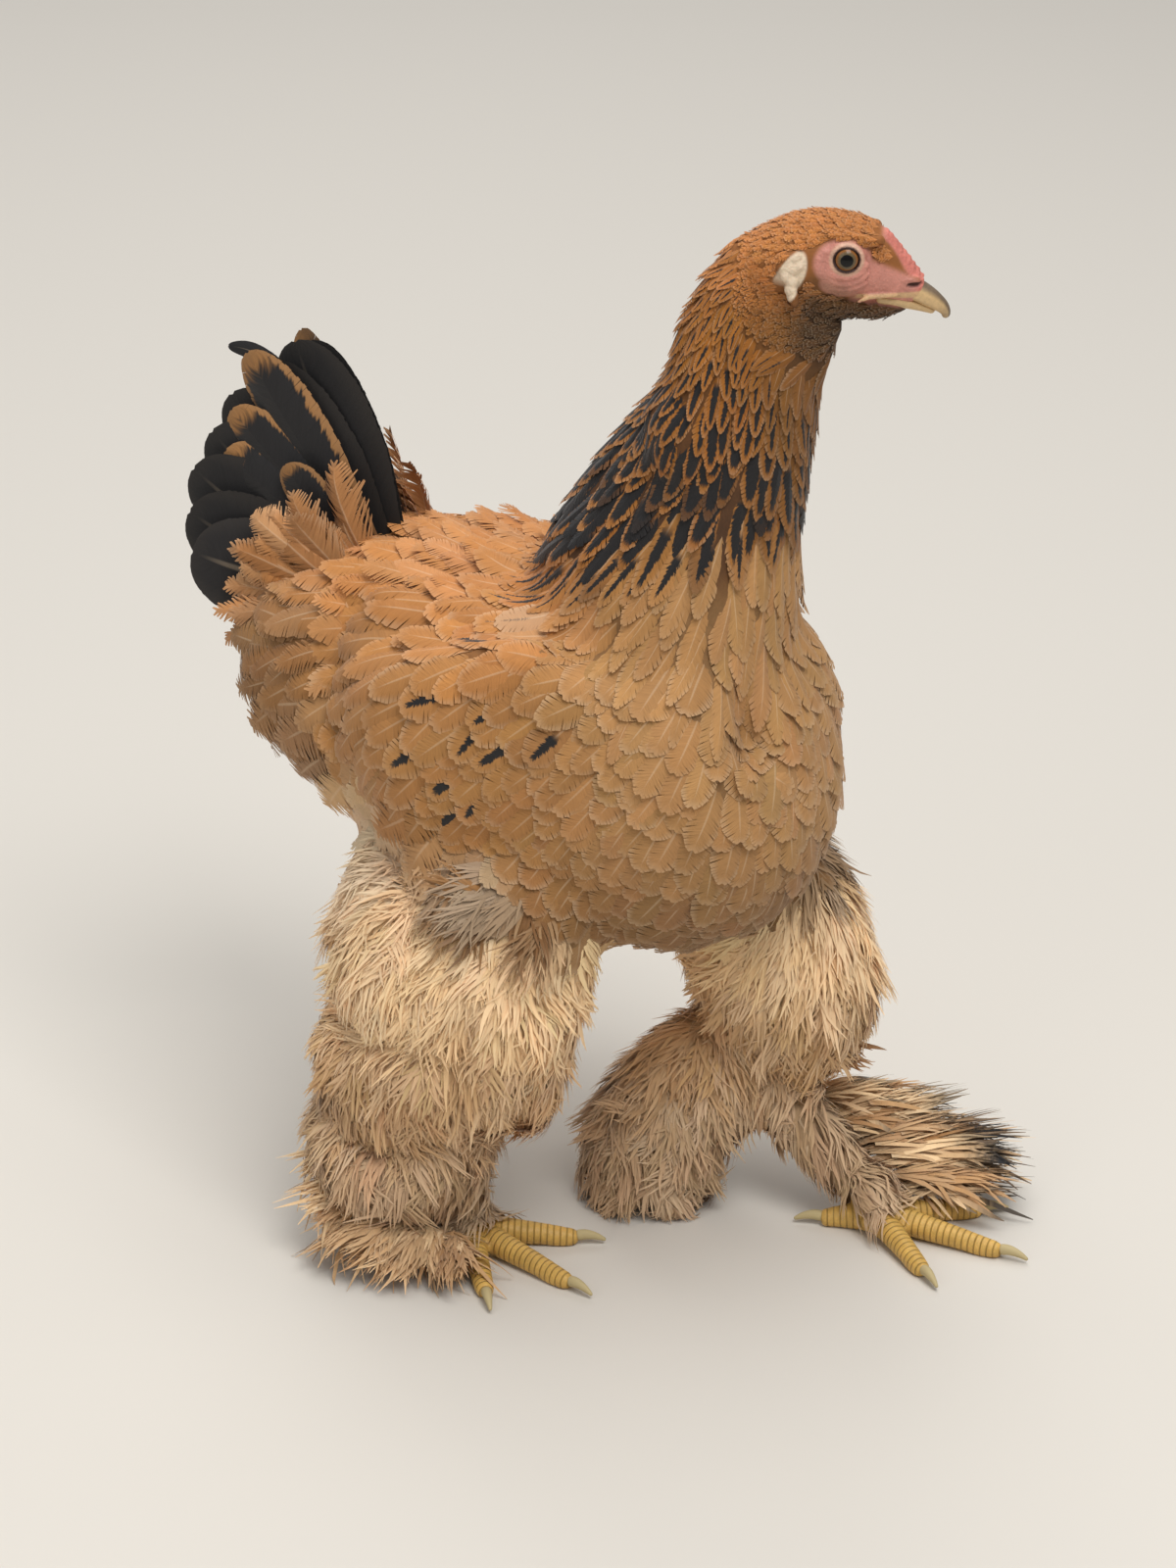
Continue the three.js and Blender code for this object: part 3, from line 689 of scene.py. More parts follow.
def lie_at(points):
    """The way feathers point at each place, before it is laid along the surface."""
    places = [at(*place) for place, _ in LEG_LIE]
    ways = [along(*way) for _, way in LEG_LIE]
    for (forward, left, up), (ahead, aside, rise) in LIE:
        for side in (1, -1) if left else (1,):
            places.append(at(forward, side * left, up))
            ways.append(along(ahead, side * aside, rise))
    places = np.array(places)
    ways = unit(ways)
    far = np.linalg.norm(points[:, None] - places[None], axis=2)
    weights = 1 / (far**2 + LIE_REACH**2) ** 1.5
    lie = (weights[..., None] * ways).sum(axis=1)
    head = to_head(points)
    drop = -0.15 - 0.02 * np.maximum(-head[:, 0] - 15, 0)
    swirl = np.stack([-np.ones(len(points)), head[:, 1] * 0.012, drop], axis=1)
    crown = swirl @ HEAD_AXES
    share = ramp(np.linalg.norm(head, axis=1), 58, 40)[:, None]
    return unit(unit(lie) * (1 - share) + unit(crown) * share)


class Surface:
    """A mesh that feathers stand on: its triangles, the nearest point to a place, and its unwrap."""

    def __init__(self, made, guide):
        mesh = made.data
        mesh.calc_loop_triangles()
        self.triangles = np.array([triangle.vertices[:] for triangle in mesh.loop_triangles])
        self.points = vertices_of(made)
        self.normals = normals_of(made)
        self.tree = BVHTree.FromObject(made, bpy.context.evaluated_depsgraph_get())
        corners = self.points[self.triangles]
        cross = np.cross(corners[:, 1] - corners[:, 0], corners[:, 2] - corners[:, 0])
        self.areas = np.linalg.norm(cross, axis=1) / 2
        self.centres = corners.mean(axis=1)
        self.guide_tree = BVHTree.FromObject(guide, bpy.context.evaluated_depsgraph_get())
        places = vertices_of(guide)
        uvs = guide.data.uv_layers["OFBake"].data
        self.patches = [
            (places[list(face.vertices)], np.array([uvs[index].uv[:] for index in face.loop_indices]))
            for face in guide.data.polygons
        ]

    def nearest(self, points):
        """The closest surface points to places, and the normals there."""
        hits = [self.tree.find_nearest(Vector(point))[:2] for point in points]
        return np.array([hit[0] for hit in hits]), np.array([hit[1] for hit in hits])

    def scatter(self, mask, spacing, seed):
        """Points at least a spacing in millimetres apart over the triangles of a mask, with their normals."""
        rng = np.random.default_rng(seed)
        chosen = np.flatnonzero(mask)
        if not len(chosen):
            return np.zeros((0, 3)), np.zeros((0, 3))
        spacings = spacing(self.centres[chosen]) * MILLI
        wanted = self.areas[chosen] / spacings**2
        count = int(wanted.sum() * 5)
        picks = rng.choice(chosen, count, p=wanted / wanted.sum())
        first, second = rng.random((2, count))
        flip = first + second > 1
        first[flip], second[flip] = 1 - first[flip], 1 - second[flip]
        shares = np.stack([1 - first - second, first, second], axis=1)
        corners = self.triangles[picks]
        places = np.einsum("ij,ijk->ik", shares, self.points[corners])
        normals = unit(np.einsum("ij,ijk->ik", shares, self.normals[corners]))
        kept = spaced_out(places, spacing(places) * MILLI)
        return places[kept], normals[kept]

    def unwrap_at(self, points):
        """Where each root falls on the unwrap of the skin's own shape."""
        spots = np.zeros((len(points), 2))
        for i, point in enumerate(points):
            corners, uvs = self.patches[self.guide_tree.find_nearest(Vector(point))[2]]
            near = 1 / (np.linalg.norm(corners - point, axis=1) + 1e-5)
            spots[i] = near @ uvs / near.sum()
        return spots


def spaced_out(places, spacings):
    """Which of a row of random points to keep so that none is within its spacing of another."""
    cell = float(spacings.max())
    cells = {}
    kept = []
    keys = np.floor(places / cell).astype(int)
    around = [(i, j, k) for i in (-1, 0, 1) for j in (-1, 0, 1) for k in (-1, 0, 1)]
    for index, (key, place, spacing) in enumerate(zip(map(tuple, keys), places, spacings)):
        limit = spacing * spacing
        crowded = False
        for i, j, k in around:
            for other in cells.get((key[0] + i, key[1] + j, key[2] + k), ()):
                step = other - place
                if step @ step < limit:
                    crowded = True
                    break
            if crowded:
                break
        if not crowded:
            cells.setdefault(key, []).append(place)
            kept.append(index)
    return np.array(kept)


# Feathers

class Pattern:
    """One feather's barbs in its own flat frame: along from root to tip, across from -1 to 1."""

    def __init__(self, barbs, tip, looseness, seed, steps=3, raggedness=0.05, sweep=0.12):
        rng = np.random.default_rng(seed)
        self.along = []
        self.across = []
        self.outwards = []
        self.lift = []
        self.faces = []
        self.looseness = looseness
        self.raggedness = raggedness
        self.sweep = sweep
        self.steps = steps
        for side in (1, -1):
            for barb in range(barbs):
                self.add_barb(barb / barbs, (barb + 1) / barbs, side, tip, rng)
        self.along = np.array(self.along)
        self.across = np.array(self.across)
        self.outwards = np.array(self.outwards)
        self.lift = np.array(self.lift)
        self.faces = np.array(self.faces)
        self.basis = spline_weights(self.along, STATIONS)

    def add_barb(self, start, end, side, tip, rng):
        """A strip of barbs from the shaft out to the feather's edge."""
        first = len(self.along)
        reach = 1 - self.raggedness * rng.random() * 2
        lift = (rng.random() - 0.5) * 0.05 * self.looseness
        drift = (rng.random() - 0.5) * 0.12 * self.looseness
        middle = (start + end) / 2
        for step in range(self.steps + 1):
            share = step / self.steps
            narrowing = 1 - self.looseness * ramp(share, 0.25, 1.0)
            half = (end - start) / 2 * narrowing * 1.08
            for edge in (-1, 1):
                root = (middle + edge * half) * 0.97
                width = outline(root / 0.97, tip) * reach
                forward = self.sweep * (1.9 - root) * (0.2 + 0.8 * width) + drift * width
                self.along.append(root + forward * share**1.2 * reach)
                self.across.append(side * width * share**0.9)
                self.outwards.append(share)
                self.lift.append(lift * share)
        for step in range(self.steps):
            a = first + 2 * step
            self.faces.append((a, a + 1, a + 3, a + 2) if side > 0 else (a, a + 2, a + 3, a + 1))


class Tuft:
    """A clump of loose down, each strand a narrow strip that tapers to a point."""

    def __init__(self, strands, seed):
        rng = np.random.default_rng(seed)
        rows = []
        for _ in range(strands):
            start = rng.uniform(0, 0.42)
            length = rng.uniform(0.4, 0.66)
            foot = rng.normal(0, 0.34)
            tip = foot * 1.3 + rng.normal(0, 0.5)
            bend = rng.normal(0, 0.5)
            width = rng.uniform(0.1, 0.18)
            rise = rng.uniform(0, 0.1)
            for step in range(TUFT_STEPS + 1):
                share = step / TUFT_STEPS
                middle = foot + (tip - foot) * share**1.4 + bend * share * (1 - share)
                half = width * (1 - share) ** 0.7 + 0.012
                for edge in (-1, 1):
                    rows.append((start + length * share, middle + edge * half, share, rise * share))
        self.along, self.across, self.outwards, self.lift = np.array(rows).T
        firsts = np.arange(strands)[:, None] * 2 * (TUFT_STEPS + 1) + 2 * np.arange(TUFT_STEPS)
        self.faces = (firsts.ravel()[:, None] + np.array([0, 1, 3, 2])).astype(int)
        self.basis = spline_weights(self.along, STATIONS)


def outline(share, tip):
    """Half the width of a feather at a share of its length: round, pointed or broad-ended."""
    share = min(max(share, 0), 1)
    swelling = math.sin(math.pi * (0.16 + 0.34 * min(share / 0.5, 1.0)))
    if tip == "pointed":
        return swelling * (1 - max(share - 0.35, 0) / 0.65) ** 0.6 + 0.02
    ending = math.sin(math.pi * (0.5 + 0.5 * max(share - 0.42, 0) / 0.58)) ** 0.7 if share < 1 else 0.0
    if tip == "broad":
        return swelling * math.sqrt(max(1 - (max(share - 0.62, 0) / 0.38) ** 2, 0.006))
    return swelling * (0.12 + 0.88 * ending)


class Coat:
    """Feathers gathered for one piece of the coat."""

    def __init__(self, name, seed):
        self.name = name
        self.rng = np.random.default_rng(seed)
        self.points = []
        self.faces = []
        self.colours = []
        self.barbs = []
        self.marks = []
        self.patches = []
        self.count = 0

    def add(self, patterns, centres, ups, rise, lengths, colours, marks, spots, camber, curl):
        """Adds a feather over each row of control points, which are five along by three across."""
        choice = self.rng.integers(0, len(patterns), len(centres))
        curl = np.broadcast_to(curl, len(centres))
        for index, pattern in enumerate(patterns):
            rows = np.flatnonzero(choice == index)
            if not len(rows):
                continue
            v = pattern.across
            sideways = np.stack([v * (v - 1) / 2, 1 - v * v, v * (v + 1) / 2], axis=1)
            weights = pattern.basis[:, :, None] * sideways[:, None, :]
            base = np.einsum("pab,nabk->npk", weights, centres[rows])
            up = unit(np.einsum("pab,nabk->npk", weights, ups[rows]))
            u = pattern.along[None]
            length = lengths[rows][:, None]
            cupped = pattern.lift[None] - camber * (v * v)[None] * CUP_SHARE
            lift = rise[rows][:, None] * u**RISE_POWER + length * cupped
            lift = lift + length * curl[rows][:, None] * u**3
            self.gather(pattern, base + up * lift[..., None], colours[rows], marks[rows], spots[rows])

    def gather(self, pattern, places, colours, marks, spots):
        """Keeps the points, faces and marks of feathers of one pattern."""
        feathers, size = places.shape[:2]
        starts = self.count + size * np.arange(feathers)
        self.faces.append((pattern.faces[None] + starts[:, None, None]).reshape(-1, 4))
        self.points.append(places.reshape(-1, 3))
        self.colours.append(np.repeat(colours, size, axis=0))
        self.marks.append(np.repeat(marks, size, axis=0))
        chance = self.rng.random(feathers)
        barbs = np.stack(
            [
                np.tile(pattern.outwards, feathers),
                np.tile(pattern.along, feathers),
                np.repeat(chance, size),
            ],
            axis=1,
        )
        self.barbs.append(barbs)
        local = np.stack([pattern.across * 0.5, pattern.along - 0.5], axis=1) * BAKE_PATCH
        self.patches.append((spots[:, None] + local[None]).reshape(-1, 2))
        self.count += feathers * size

    def build(self, material, slot, nodes=()):
        """Joins the feathers into one object."""
        points = np.concatenate(self.points)
        points[:, 2] = np.maximum(points[:, 2], FLOOR_LIFT)
        faces = np.concatenate(self.faces)
        mesh = bpy.data.meshes.new(self.name)
        mesh.vertices.add(len(points))
        mesh.vertices.foreach_set("co", points.ravel())
        mesh.loops.add(faces.size)
        mesh.loops.foreach_set("vertex_index", faces.ravel().astype(np.int32))
        mesh.polygons.add(len(faces))
        mesh.polygons.foreach_set("loop_start", np.arange(0, faces.size, 4, dtype=np.int32))
        mesh.polygons.foreach_set("use_smooth", [True] * len(faces))
        mesh.update(calc_edges=True)
        set_colour(mesh, "plumage", np.concatenate(self.colours))
        set_colour(mesh, "mark", np.concatenate(self.marks))
        barb = mesh.attributes.new("barb", "FLOAT_VECTOR", "POINT")
        barb.data.foreach_set("vector", np.concatenate(self.barbs).ravel())
        layer = mesh.uv_layers.new(name="OFBake")
        patches = np.clip(np.concatenate(self.patches), 0, 1)[faces.ravel()]
        layer.data.foreach_set("uv", patches.ravel())
        mesh.materials.append(material)
        made = bpy.data.objects.new(self.name, mesh)
        bpy.context.scene.collection.objects.link(made)
        finish_piece(made, nodes)
        return made


def set_colour(mesh, name, colours):
    """Stores a colour or four shares at each point."""
    layer = mesh.color_attributes.new(name, "FLOAT_COLOR", "POINT")
    if colours.shape[1] == 3:
        colours = np.concatenate([colours, np.ones((len(colours), 1))], axis=1)
    layer.data.foreach_set("color", colours.astype(np.float32).ravel())


def finish_piece(made, nodes):
    """Gives a piece its body and hides the CAD nodes that it stands for."""
    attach(made, "root")
    if nodes:
        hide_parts(*nodes)


def drape(surface, roots, normals, ways, lengths, widths, stiffness):
    """Control points for feathers laid over the surface, five along by three across, and their normals."""
    count = len(roots)
    rows = np.empty((count, STATIONS, 3, 3))
    ups = np.empty((count, STATIONS, 3, 3))
    place = roots.copy()
    normal = normals.copy()
    way = ways.copy()
    for station in range(STATIONS):
        if station:
            step = way * (lengths / (STATIONS - 1))[:, None]
            found, facing = surface.nearest(place + step)
            place = found * (1 - stiffness) + (place + step) * stiffness
            normal = unit(normal * 0.5 + facing)
            way = unit(way - normal * (way * normal).sum(axis=1)[:, None] * (1 - stiffness))
        across = unit(np.cross(way, normal))
        reach = across * (widths / 2)[:, None]
        rows[:, station, 1] = place
        ups[:, station, 1] = normal
        for column, sign in ((0, -1), (2, 1)):
            edge = place + sign * reach
            found, facing = surface.nearest(edge)
            slip = np.linalg.norm(found - edge, axis=1)[:, None]
            pull = np.clip(1.5 - slip / (widths[:, None] * 0.35), 0, 1) * (1 - stiffness)
            rows[:, station, column] = found * pull + edge * (1 - pull)
            ups[:, station, column] = unit(normal + facing * 0.6)
    return rows, ups


def laid(ways, normals, rng, wander):
    """Directions laid along the surface and turned a little at random."""
    ways = unit(ways - normals * (ways * normals).sum(axis=1)[:, None])
    across = np.cross(normals, ways)
    turn = rng.normal(0, wander, len(ways))[:, None]
    return unit(ways * np.cos(turn) + across * np.sin(turn))


def cover(coat, surface, mask, plan, seed):
    """Covers part of the surface with feathers of a plan's spacing, length, width and looseness."""
    roots, normals = surface.scatter(mask, plan["spacing"], seed)
    if not len(roots):
        return
    rng = np.random.default_rng(seed + 1)
    ways = laid(lie_at(roots), normals, rng, plan["wander"])
    size = rng.normal(1, 0.09, len(roots))
    lengths = plan["length"](roots) * size * MILLI
    widths = plan["width"](roots) * rng.normal(1, 0.08, len(roots)) * MILLI
    rise = plan["rise"](roots) * rng.uniform(0.7, 1.25, len(roots)) * MILLI
    sunk = roots - normals * ROOT_DEPTH
    rows, ups = drape(surface, sunk, normals, ways, lengths, widths, plan.get("stiffness", 0.0))
    tips = rows[:, 4, 1]
    clear = bare_share(tips) + bare_share(rows[:, 2, 1]) < 0.5
    kept = [part[clear] for part in (roots, rows, ups, rise, lengths, tips)]
    roots, rows, ups, rise, lengths, tips = kept
    count = len(roots)
    colours = plumage_and_shade_colour(tips) * rng.normal(1, 0.055, (count, 1)) * rng.normal(1, 0.015, (count, 3))
    marks = plan["marks"](tips, rng)
    curl = rng.normal(0, plan.get("curl_spread", 0.02), count)
    coat.add(
        plan["patterns"], rows, ups, rise, lengths, np.clip(colours, 0.003, 1), marks,
        surface.unwrap_at(roots), plan["camber"], curl,
    )


def bare_share(points):
    """How bare the skin is at each place."""
    bare = skin_masks(points)
    return np.maximum.reduce([bare["face"], bare["comb"], bare["lobe"]])


def patterns(barbs, tip, looseness, seed, **shape):
    """Several feathers of one kind, each ragged in its own way."""
    return [Pattern(barbs, tip, looseness, seed + i, **shape) for i in range(5)]


def tufts(strands, seed):
    """Several tufts of down, each loose in its own way."""
    return [Tuft(strands, seed + i) for i in range(8)]


def constant(value):
    """A size that is the same everywhere."""
    return lambda places: np.full(len(places), float(value))


def body_marks(tips, rng):
    """Stripe, pale edge, black patch and paleness for each feather of the body."""
    count = len(tips)
    stripe = dark_share(tips) * rng.uniform(0.7, 1.2, count)
    wing = spot(tips, -60, -92, 285, 75) + spot(tips, -60, 92, 285, 75)
    flecked = (rng.random(count) < 0.2 * wing) * rng.uniform(0.2, 0.6, count)
    shoulder = spot(tips, -44, -50, 358, 30) + spot(tips, -44, 50, 358, 30)
    stripe = np.maximum(stripe, (rng.random(count) < 0.5) * shoulder)
    white = np.clip(spot(tips, -54, -62, 346, 26) + spot(tips, -54, 62, 346, 26), 0, 1) * 0.9
    edge = rng.uniform(0.25, 0.8, count)
    return np.stack([np.clip(np.maximum(stripe, flecked), 0, 1), edge, np.zeros(count), white], axis=1)


def neck_marks(tips, rng):
    """The same for each feather of the head and the neck, striped black."""
    count = len(tips)
    _, _, up = on_hen(tips)
    stripe = dark_share(tips) * rng.uniform(0.75, 1.25, count)
    patch = ramp(up, 420, 380) * (rng.random(count) < 0.45) * ramp(dark_share(tips), 0.35, 0.6)
    return np.stack([np.clip(stripe, 0, 1), rng.uniform(0.2, 0.6, count), patch, np.zeros(count)], axis=1)


def plain_marks(tips, rng):
    """The same for feathers with no black, palest low on the legs."""
    count = len(tips)
    _, _, up = on_hen(tips)
    pale = rng.random(count) ** 2 * (0.1 + 0.4 * ramp(up, 220, 190))
    return np.stack([np.zeros(count), rng.uniform(0.1, 0.5, count), np.zeros(count), pale], axis=1)


# Materials

class Value:
    """A number, colour or vector in a material, which takes ordinary arithmetic."""

    def __init__(self, sheet, socket):
        self.sheet = sheet
        self.socket = socket

    def __add__(self, other):
        return self.sheet.sum_of("ADD", self, other)

    def __radd__(self, other):
        return self.sheet.sum_of("ADD", other, self)

    def __sub__(self, other):
        return self.sheet.sum_of("SUBTRACT", self, other)

    def __rsub__(self, other):
        return self.sheet.sum_of("SUBTRACT", other, self)

    def __mul__(self, other):
        return self.sheet.sum_of("MULTIPLY", self, other)

    def __rmul__(self, other):
        return self.sheet.sum_of("MULTIPLY", other, self)

    def larger(self, other):
        return self.sheet.sum_of("MAXIMUM", self, other)

    def ramp(self, low, high):
        """0 below low, 1 above high and smooth between. High may be less than low."""
        limits = {"Value": self, "From Min": low, "From Max": high}
        node = self.sheet.node("ShaderNodeMapRange", {"interpolation_type": "SMOOTHSTEP"}, limits)
        return Value(self.sheet, node.outputs[0])


class Sheet:
    """A material with one surface shader, and the ways to write what feeds it."""

    def __init__(self, name, **constants):
        self.material = bpy.data.materials.new(name)
        self.material.use_nodes = True
        self.tree = self.material.node_tree
        self.surface = self.tree.nodes["Principled BSDF"]
        for key, value in constants.items():
            self.feed(self.surface.inputs[key.replace("_", " ")], value)

    def feed(self, socket, value):
        """Links a value to a socket, or sets a constant on it."""
        if isinstance(value, Value):
            self.tree.links.new(value.socket, socket)
        else:
            socket.default_value = value

    def node(self, kind, settings, inputs):
        """A node of a kind, with its settings and then its values or links."""
        node = self.tree.nodes.new(kind)
        for name, value in settings.items():
            setattr(node, name, value)
        for name, value in inputs.items():
            self.feed(node.inputs[name], value)
        return node

    def sum_of(self, operation, first, second=0.0):
        node = self.node("ShaderNodeMath", {"operation": operation}, {0: first, 1: second})
        return Value(self, node.outputs[0])

    def attribute(self, name, output="Color"):
        """A value that the mesh itself carries."""
        node = self.node("ShaderNodeAttribute", {"attribute_name": name}, {})
        return Value(self, node.outputs[output])

    def parts_of(self, vector):
        """The x, y and z of a vector."""
        node = self.node("ShaderNodeSeparateXYZ", {}, {0: vector})
        return [Value(self, output) for output in node.outputs]

    def vector(self, x, y, z):
        node = self.node("ShaderNodeCombineXYZ", {}, {0: x, 1: y, 2: z})
        return Value(self, node.outputs[0])

    def place(self, scale):
        """The place on the model, times a scale."""
        node = self.node("ShaderNodeTexCoord", {}, {})
        return self.scaled(Value(self, node.outputs["Object"]), scale)

    def noise(self, vector, detail):
        """Soft noise from 0 to 1."""
        node = self.node("ShaderNodeTexNoise", {}, {"Vector": vector, "Scale": 1.0, "Detail": detail})
        return Value(self, node.outputs[0])

    def cells(self, vector):
        """How far each place is from the middle of its cell."""
        node = self.node("ShaderNodeTexVoronoi", {}, {"Vector": vector, "Scale": 1.0})
        return Value(self, node.outputs["Distance"])

    def blend(self, first, second, share):
        """The first colour where the share is 0, the second where it is 1."""
        node = self.node("ShaderNodeMix", {"data_type": "RGBA"}, {0: share, 6: first, 7: second})
        return Value(self, node.outputs[2])

    def scaled(self, vector, share):
        """A colour or a vector times a number."""
        node = self.node("ShaderNodeVectorMath", {"operation": "SCALE"}, {0: vector, "Scale": share})
        return Value(self, node.outputs[0])

    def bump(self, height, distance, strength):
        """Raises the surface where the height is more, by up to a distance in metres."""
        inputs = {"Height": height, "Distance": distance, "Strength": strength}
        node = self.node("ShaderNodeBump", {}, inputs)
        self.feed(self.surface.inputs["Normal"], Value(self, node.outputs[0]))


def rgba(colour):
    return (*map(float, colour), 1.0)


def feather_material(name, sheen, shaft_show=0.2, contrast=1.0):
    """Barbs off a pale shaft, with a black stripe and a pale edge where they are marked, and a darker root
    that is partly greyer down and partly painted shade between the rows.
    """
    sheet = Sheet(name, Sheen_Weight=sheen, Sheen_Roughness=0.5, Specular_IOR_Level=0.25)
    stripe, lace, dark = sheet.parts_of(sheet.attribute("mark"))
    pale = sheet.attribute("mark", "Alpha")
    outwards, along_it, chance = sheet.parts_of(sheet.attribute("barb", "Vector"))
    strand = along_it - outwards * 0.16
    streak = sheet.noise(sheet.vector(strand * 42, outwards * 1.3, chance * 57), 3.0)
    blotch = sheet.noise(sheet.vector(strand * 4, outwards * 1.2, chance * 91), 1.0)
    tone = (1 - 0.28 * contrast) + streak * (0.36 * contrast) + blotch * (0.2 * contrast)
    colour = sheet.scaled(sheet.attribute("plumage"), tone)
    rim = outwards.ramp(0.5, 1.0).larger(along_it.ramp(0.86, 1.02))
    colour = sheet.blend(colour, rgba(paint("pale")), rim * lace * 0.3)
    colour = sheet.blend(colour, rgba(paint("pale")), pale * 0.75)
    shaft = outwards.ramp(0.07, 0.02) * along_it.ramp(0.95, 0.7)
    colour = sheet.blend(colour, rgba(paint("pale")), shaft * shaft_show)
    ragged = (streak - 0.5) * 0.5
    centre = (outwards + ragged - stripe * 0.62).ramp(0.05, -0.05)
    below_tip = (along_it + ragged * 0.3).ramp(0.93, 0.84)
    above_root = (along_it + stripe * 0.5).ramp(0.5, 0.65)
    ends = below_tip * stripe.ramp(0.02, 0.15) * above_root
    black = (centre * ends).larger(dark * (along_it + ragged * 0.5).ramp(0.45, 0.75))
    colour = sheet.blend(colour, sheet.scaled(tuple(paint("black")), tone), black)
    # Partly painted shade between the rows: darker towards the root, which is partly the greyer down there.
    colour = sheet.blend(sheet.scaled(colour, 1 - 0.38 * contrast), colour, along_it.ramp(0.0, 0.35))
    sheet.feed(sheet.surface.inputs["Base Color"], colour)
    sheet.feed(sheet.surface.inputs["Roughness"], 0.72 - black * 0.2)
    sheet.bump(streak, 0.0005, 0.6 * contrast)
    return sheet.material


def toe_plates(points):
    """How many plates along its toe each place lies, to be cut into bands."""
    plates = np.zeros(len(points))
    nearest = np.full(len(points), 1.0)
    for label, _ in SIDES:
        for name, (heading, length) in TOES.items():
            start = foot_point(label, heading, 0, 6)
            end = foot_point(label, heading, length, 4)
            way = (end - start) / np.linalg.norm(end - start)
            along_it = (points - start) @ way
            far = np.linalg.norm(points - start - np.clip(along_it, 0, 1)[:, None] * way, axis=1)
            plates = np.where(far < nearest, along_it / (PLATE_LENGTH * MILLI), plates)
            nearest = np.minimum(far, nearest)
    return plates


def skin_material():
    """Bare pink face, comb and lobes, scaled toes, and downy skin under the coat."""
    glow = (0.004, 0.0015, 0.001)
    sheet = Sheet("skin", Subsurface_Weight=0.06, Subsurface_Radius=glow, Specular_IOR_Level=0.4)
    face, comb, lobe = sheet.parts_of(sheet.attribute("bare"))
    toes = sheet.attribute("bare", "Alpha")
    grain = sheet.noise(sheet.place(900.0), 4.0)
    patch = sheet.noise(sheet.place(170.0), 3.0)
    pores = sheet.cells(sheet.place(700.0))
    plates = sheet.attribute("plates", "Fac")
    place_in_plate = sheet.sum_of("FRACT", plates)
    groove = place_in_plate.ramp(0.22, 0.0).larger(place_in_plate.ramp(0.86, 1.0)) * toes
    tone = (0.5 + patch * 0.62 + grain * 0.36) * (1 - groove * 0.4)
    colour = sheet.scaled(sheet.attribute("tint"), tone)
    bare = face.larger(comb).larger(lobe)
    sheet.feed(sheet.surface.inputs["Base Color"], colour)
    sheet.feed(sheet.surface.inputs["Roughness"], 0.78 - bare * 0.25 - toes * 0.3)
    sheet.bump((pores * 0.5 + grain) * bare + toes * grain * 0.3 + patch - groove * 1.6, 0.0007, 0.6)
    return sheet.material


def eye_material():
    """Dark pupil, orange-brown iris with fine fibres and a dark edge, under a clear wet surface."""
    wet = dict(Coat_Weight=1.0, Coat_Roughness=0.03, Coat_IOR=1.28)
    sheet = Sheet("eye", Roughness=0.4, Specular_IOR_Level=0.1, **wet)
    radius, angle, _ = sheet.parts_of(sheet.attribute("eye", "Vector"))
    fibres = sheet.noise(sheet.vector(angle * 9, radius * 0.5, 0.0), 3.0)
    inner = sheet.blend(rgba(paint("iris_inner")), rgba(paint("iris")), radius.ramp(3.4, 4.8))
    iris = sheet.scaled(inner, 0.55 + fibres * 0.8)
    iris = sheet.blend(iris, rgba(paint("iris_edge")), (radius + fibres * 0.3).ramp(4.7, 5.2))
    colour = sheet.blend(rgba(paint("pupil")), iris, radius.ramp(2.7, 3.0))
    sheet.feed(sheet.surface.inputs["Base Color"], colour)
    return sheet.material


def horn_material():
    """Horn in growth layers, coloured where it is marked."""
    sheet = Sheet("horn", Coat_Weight=0.25, Coat_Roughness=0.25, Specular_IOR_Level=0.5)
    grain = sheet.noise(sheet.place(650.0), 4.0)
    sheet.feed(sheet.surface.inputs["Base Color"], sheet.scaled(sheet.attribute("tint"), 0.72 + grain * 0.5))
    sheet.feed(sheet.surface.inputs["Roughness"], 0.34 + grain * 0.2)
    sheet.bump(grain, 0.0003, 0.5)
    return sheet.material


# Pieces

NOSTRIL = (32.3, -10.3)

SURFACES = {}


def skin_tint(points):
    """The skin's colour: plumage darkened as painted shade deep in the coat where feathers cover it, and
    pink, cream or yellow where it is bare.
    """
    bare = skin_masks(points)
    # Painted shade: under the feathers the skin is the plumage at about half its brightness.
    tint = mix(plumage_and_shade_colour(points) * 0.55, paint("black"), dark_share(points) * 0.6)
    tint = mix(tint, paint("toes"), bare["toes"])
    tint = mix(tint, paint("face"), bare["face"])
    beakward, left, up = to_head(points).T
    under_eye = ramp(up + 0.3 * beakward, -8, -17) * ramp(beakward, 12, 2)
    tint = mix(tint, paint("cheek"), bare["face"] * under_eye * 0.75)
    tint = mix(tint, paint("comb"), bare["comb"] * 0.8)
    tint = mix(tint, paint("lobe"), bare["lobe"])
    around = np.hypot(beakward, up)
    tint = mix(tint, paint("lids"), bare["face"] * ramp(around, 8.2, 7.2) * 0.7)
    tint = mix(tint, paint("lid_edge"), bare["face"] * ramp(around, 6.6, 5.9))
    gape = ramp(np.abs(up + 17.8 - (beakward - 13) * 0.14), 2.0, 0.9) * ramp(beakward, 6, 9) * bare["face"]
    tint = mix(tint, paint("gape"), gape * 0.8)
    # Painted shade inside the nostril's slit, which is also dented in.
    nostril_shade = nostril_depth(beakward, up)
    return mix(tint, paint("nostril"), nostril_shade * bare["face"] * 0.9)


def nostril_depth(beakward, up):
    """1 in the slit of a nostril, 0 away from it."""
    x = (beakward - NOSTRIL[0]) / 4.2
    z = (up - NOSTRIL[1] - 0.12 * (beakward - NOSTRIL[0])) / 1.3
    return ramp(x * x + z * z, 1.0, 0.3)


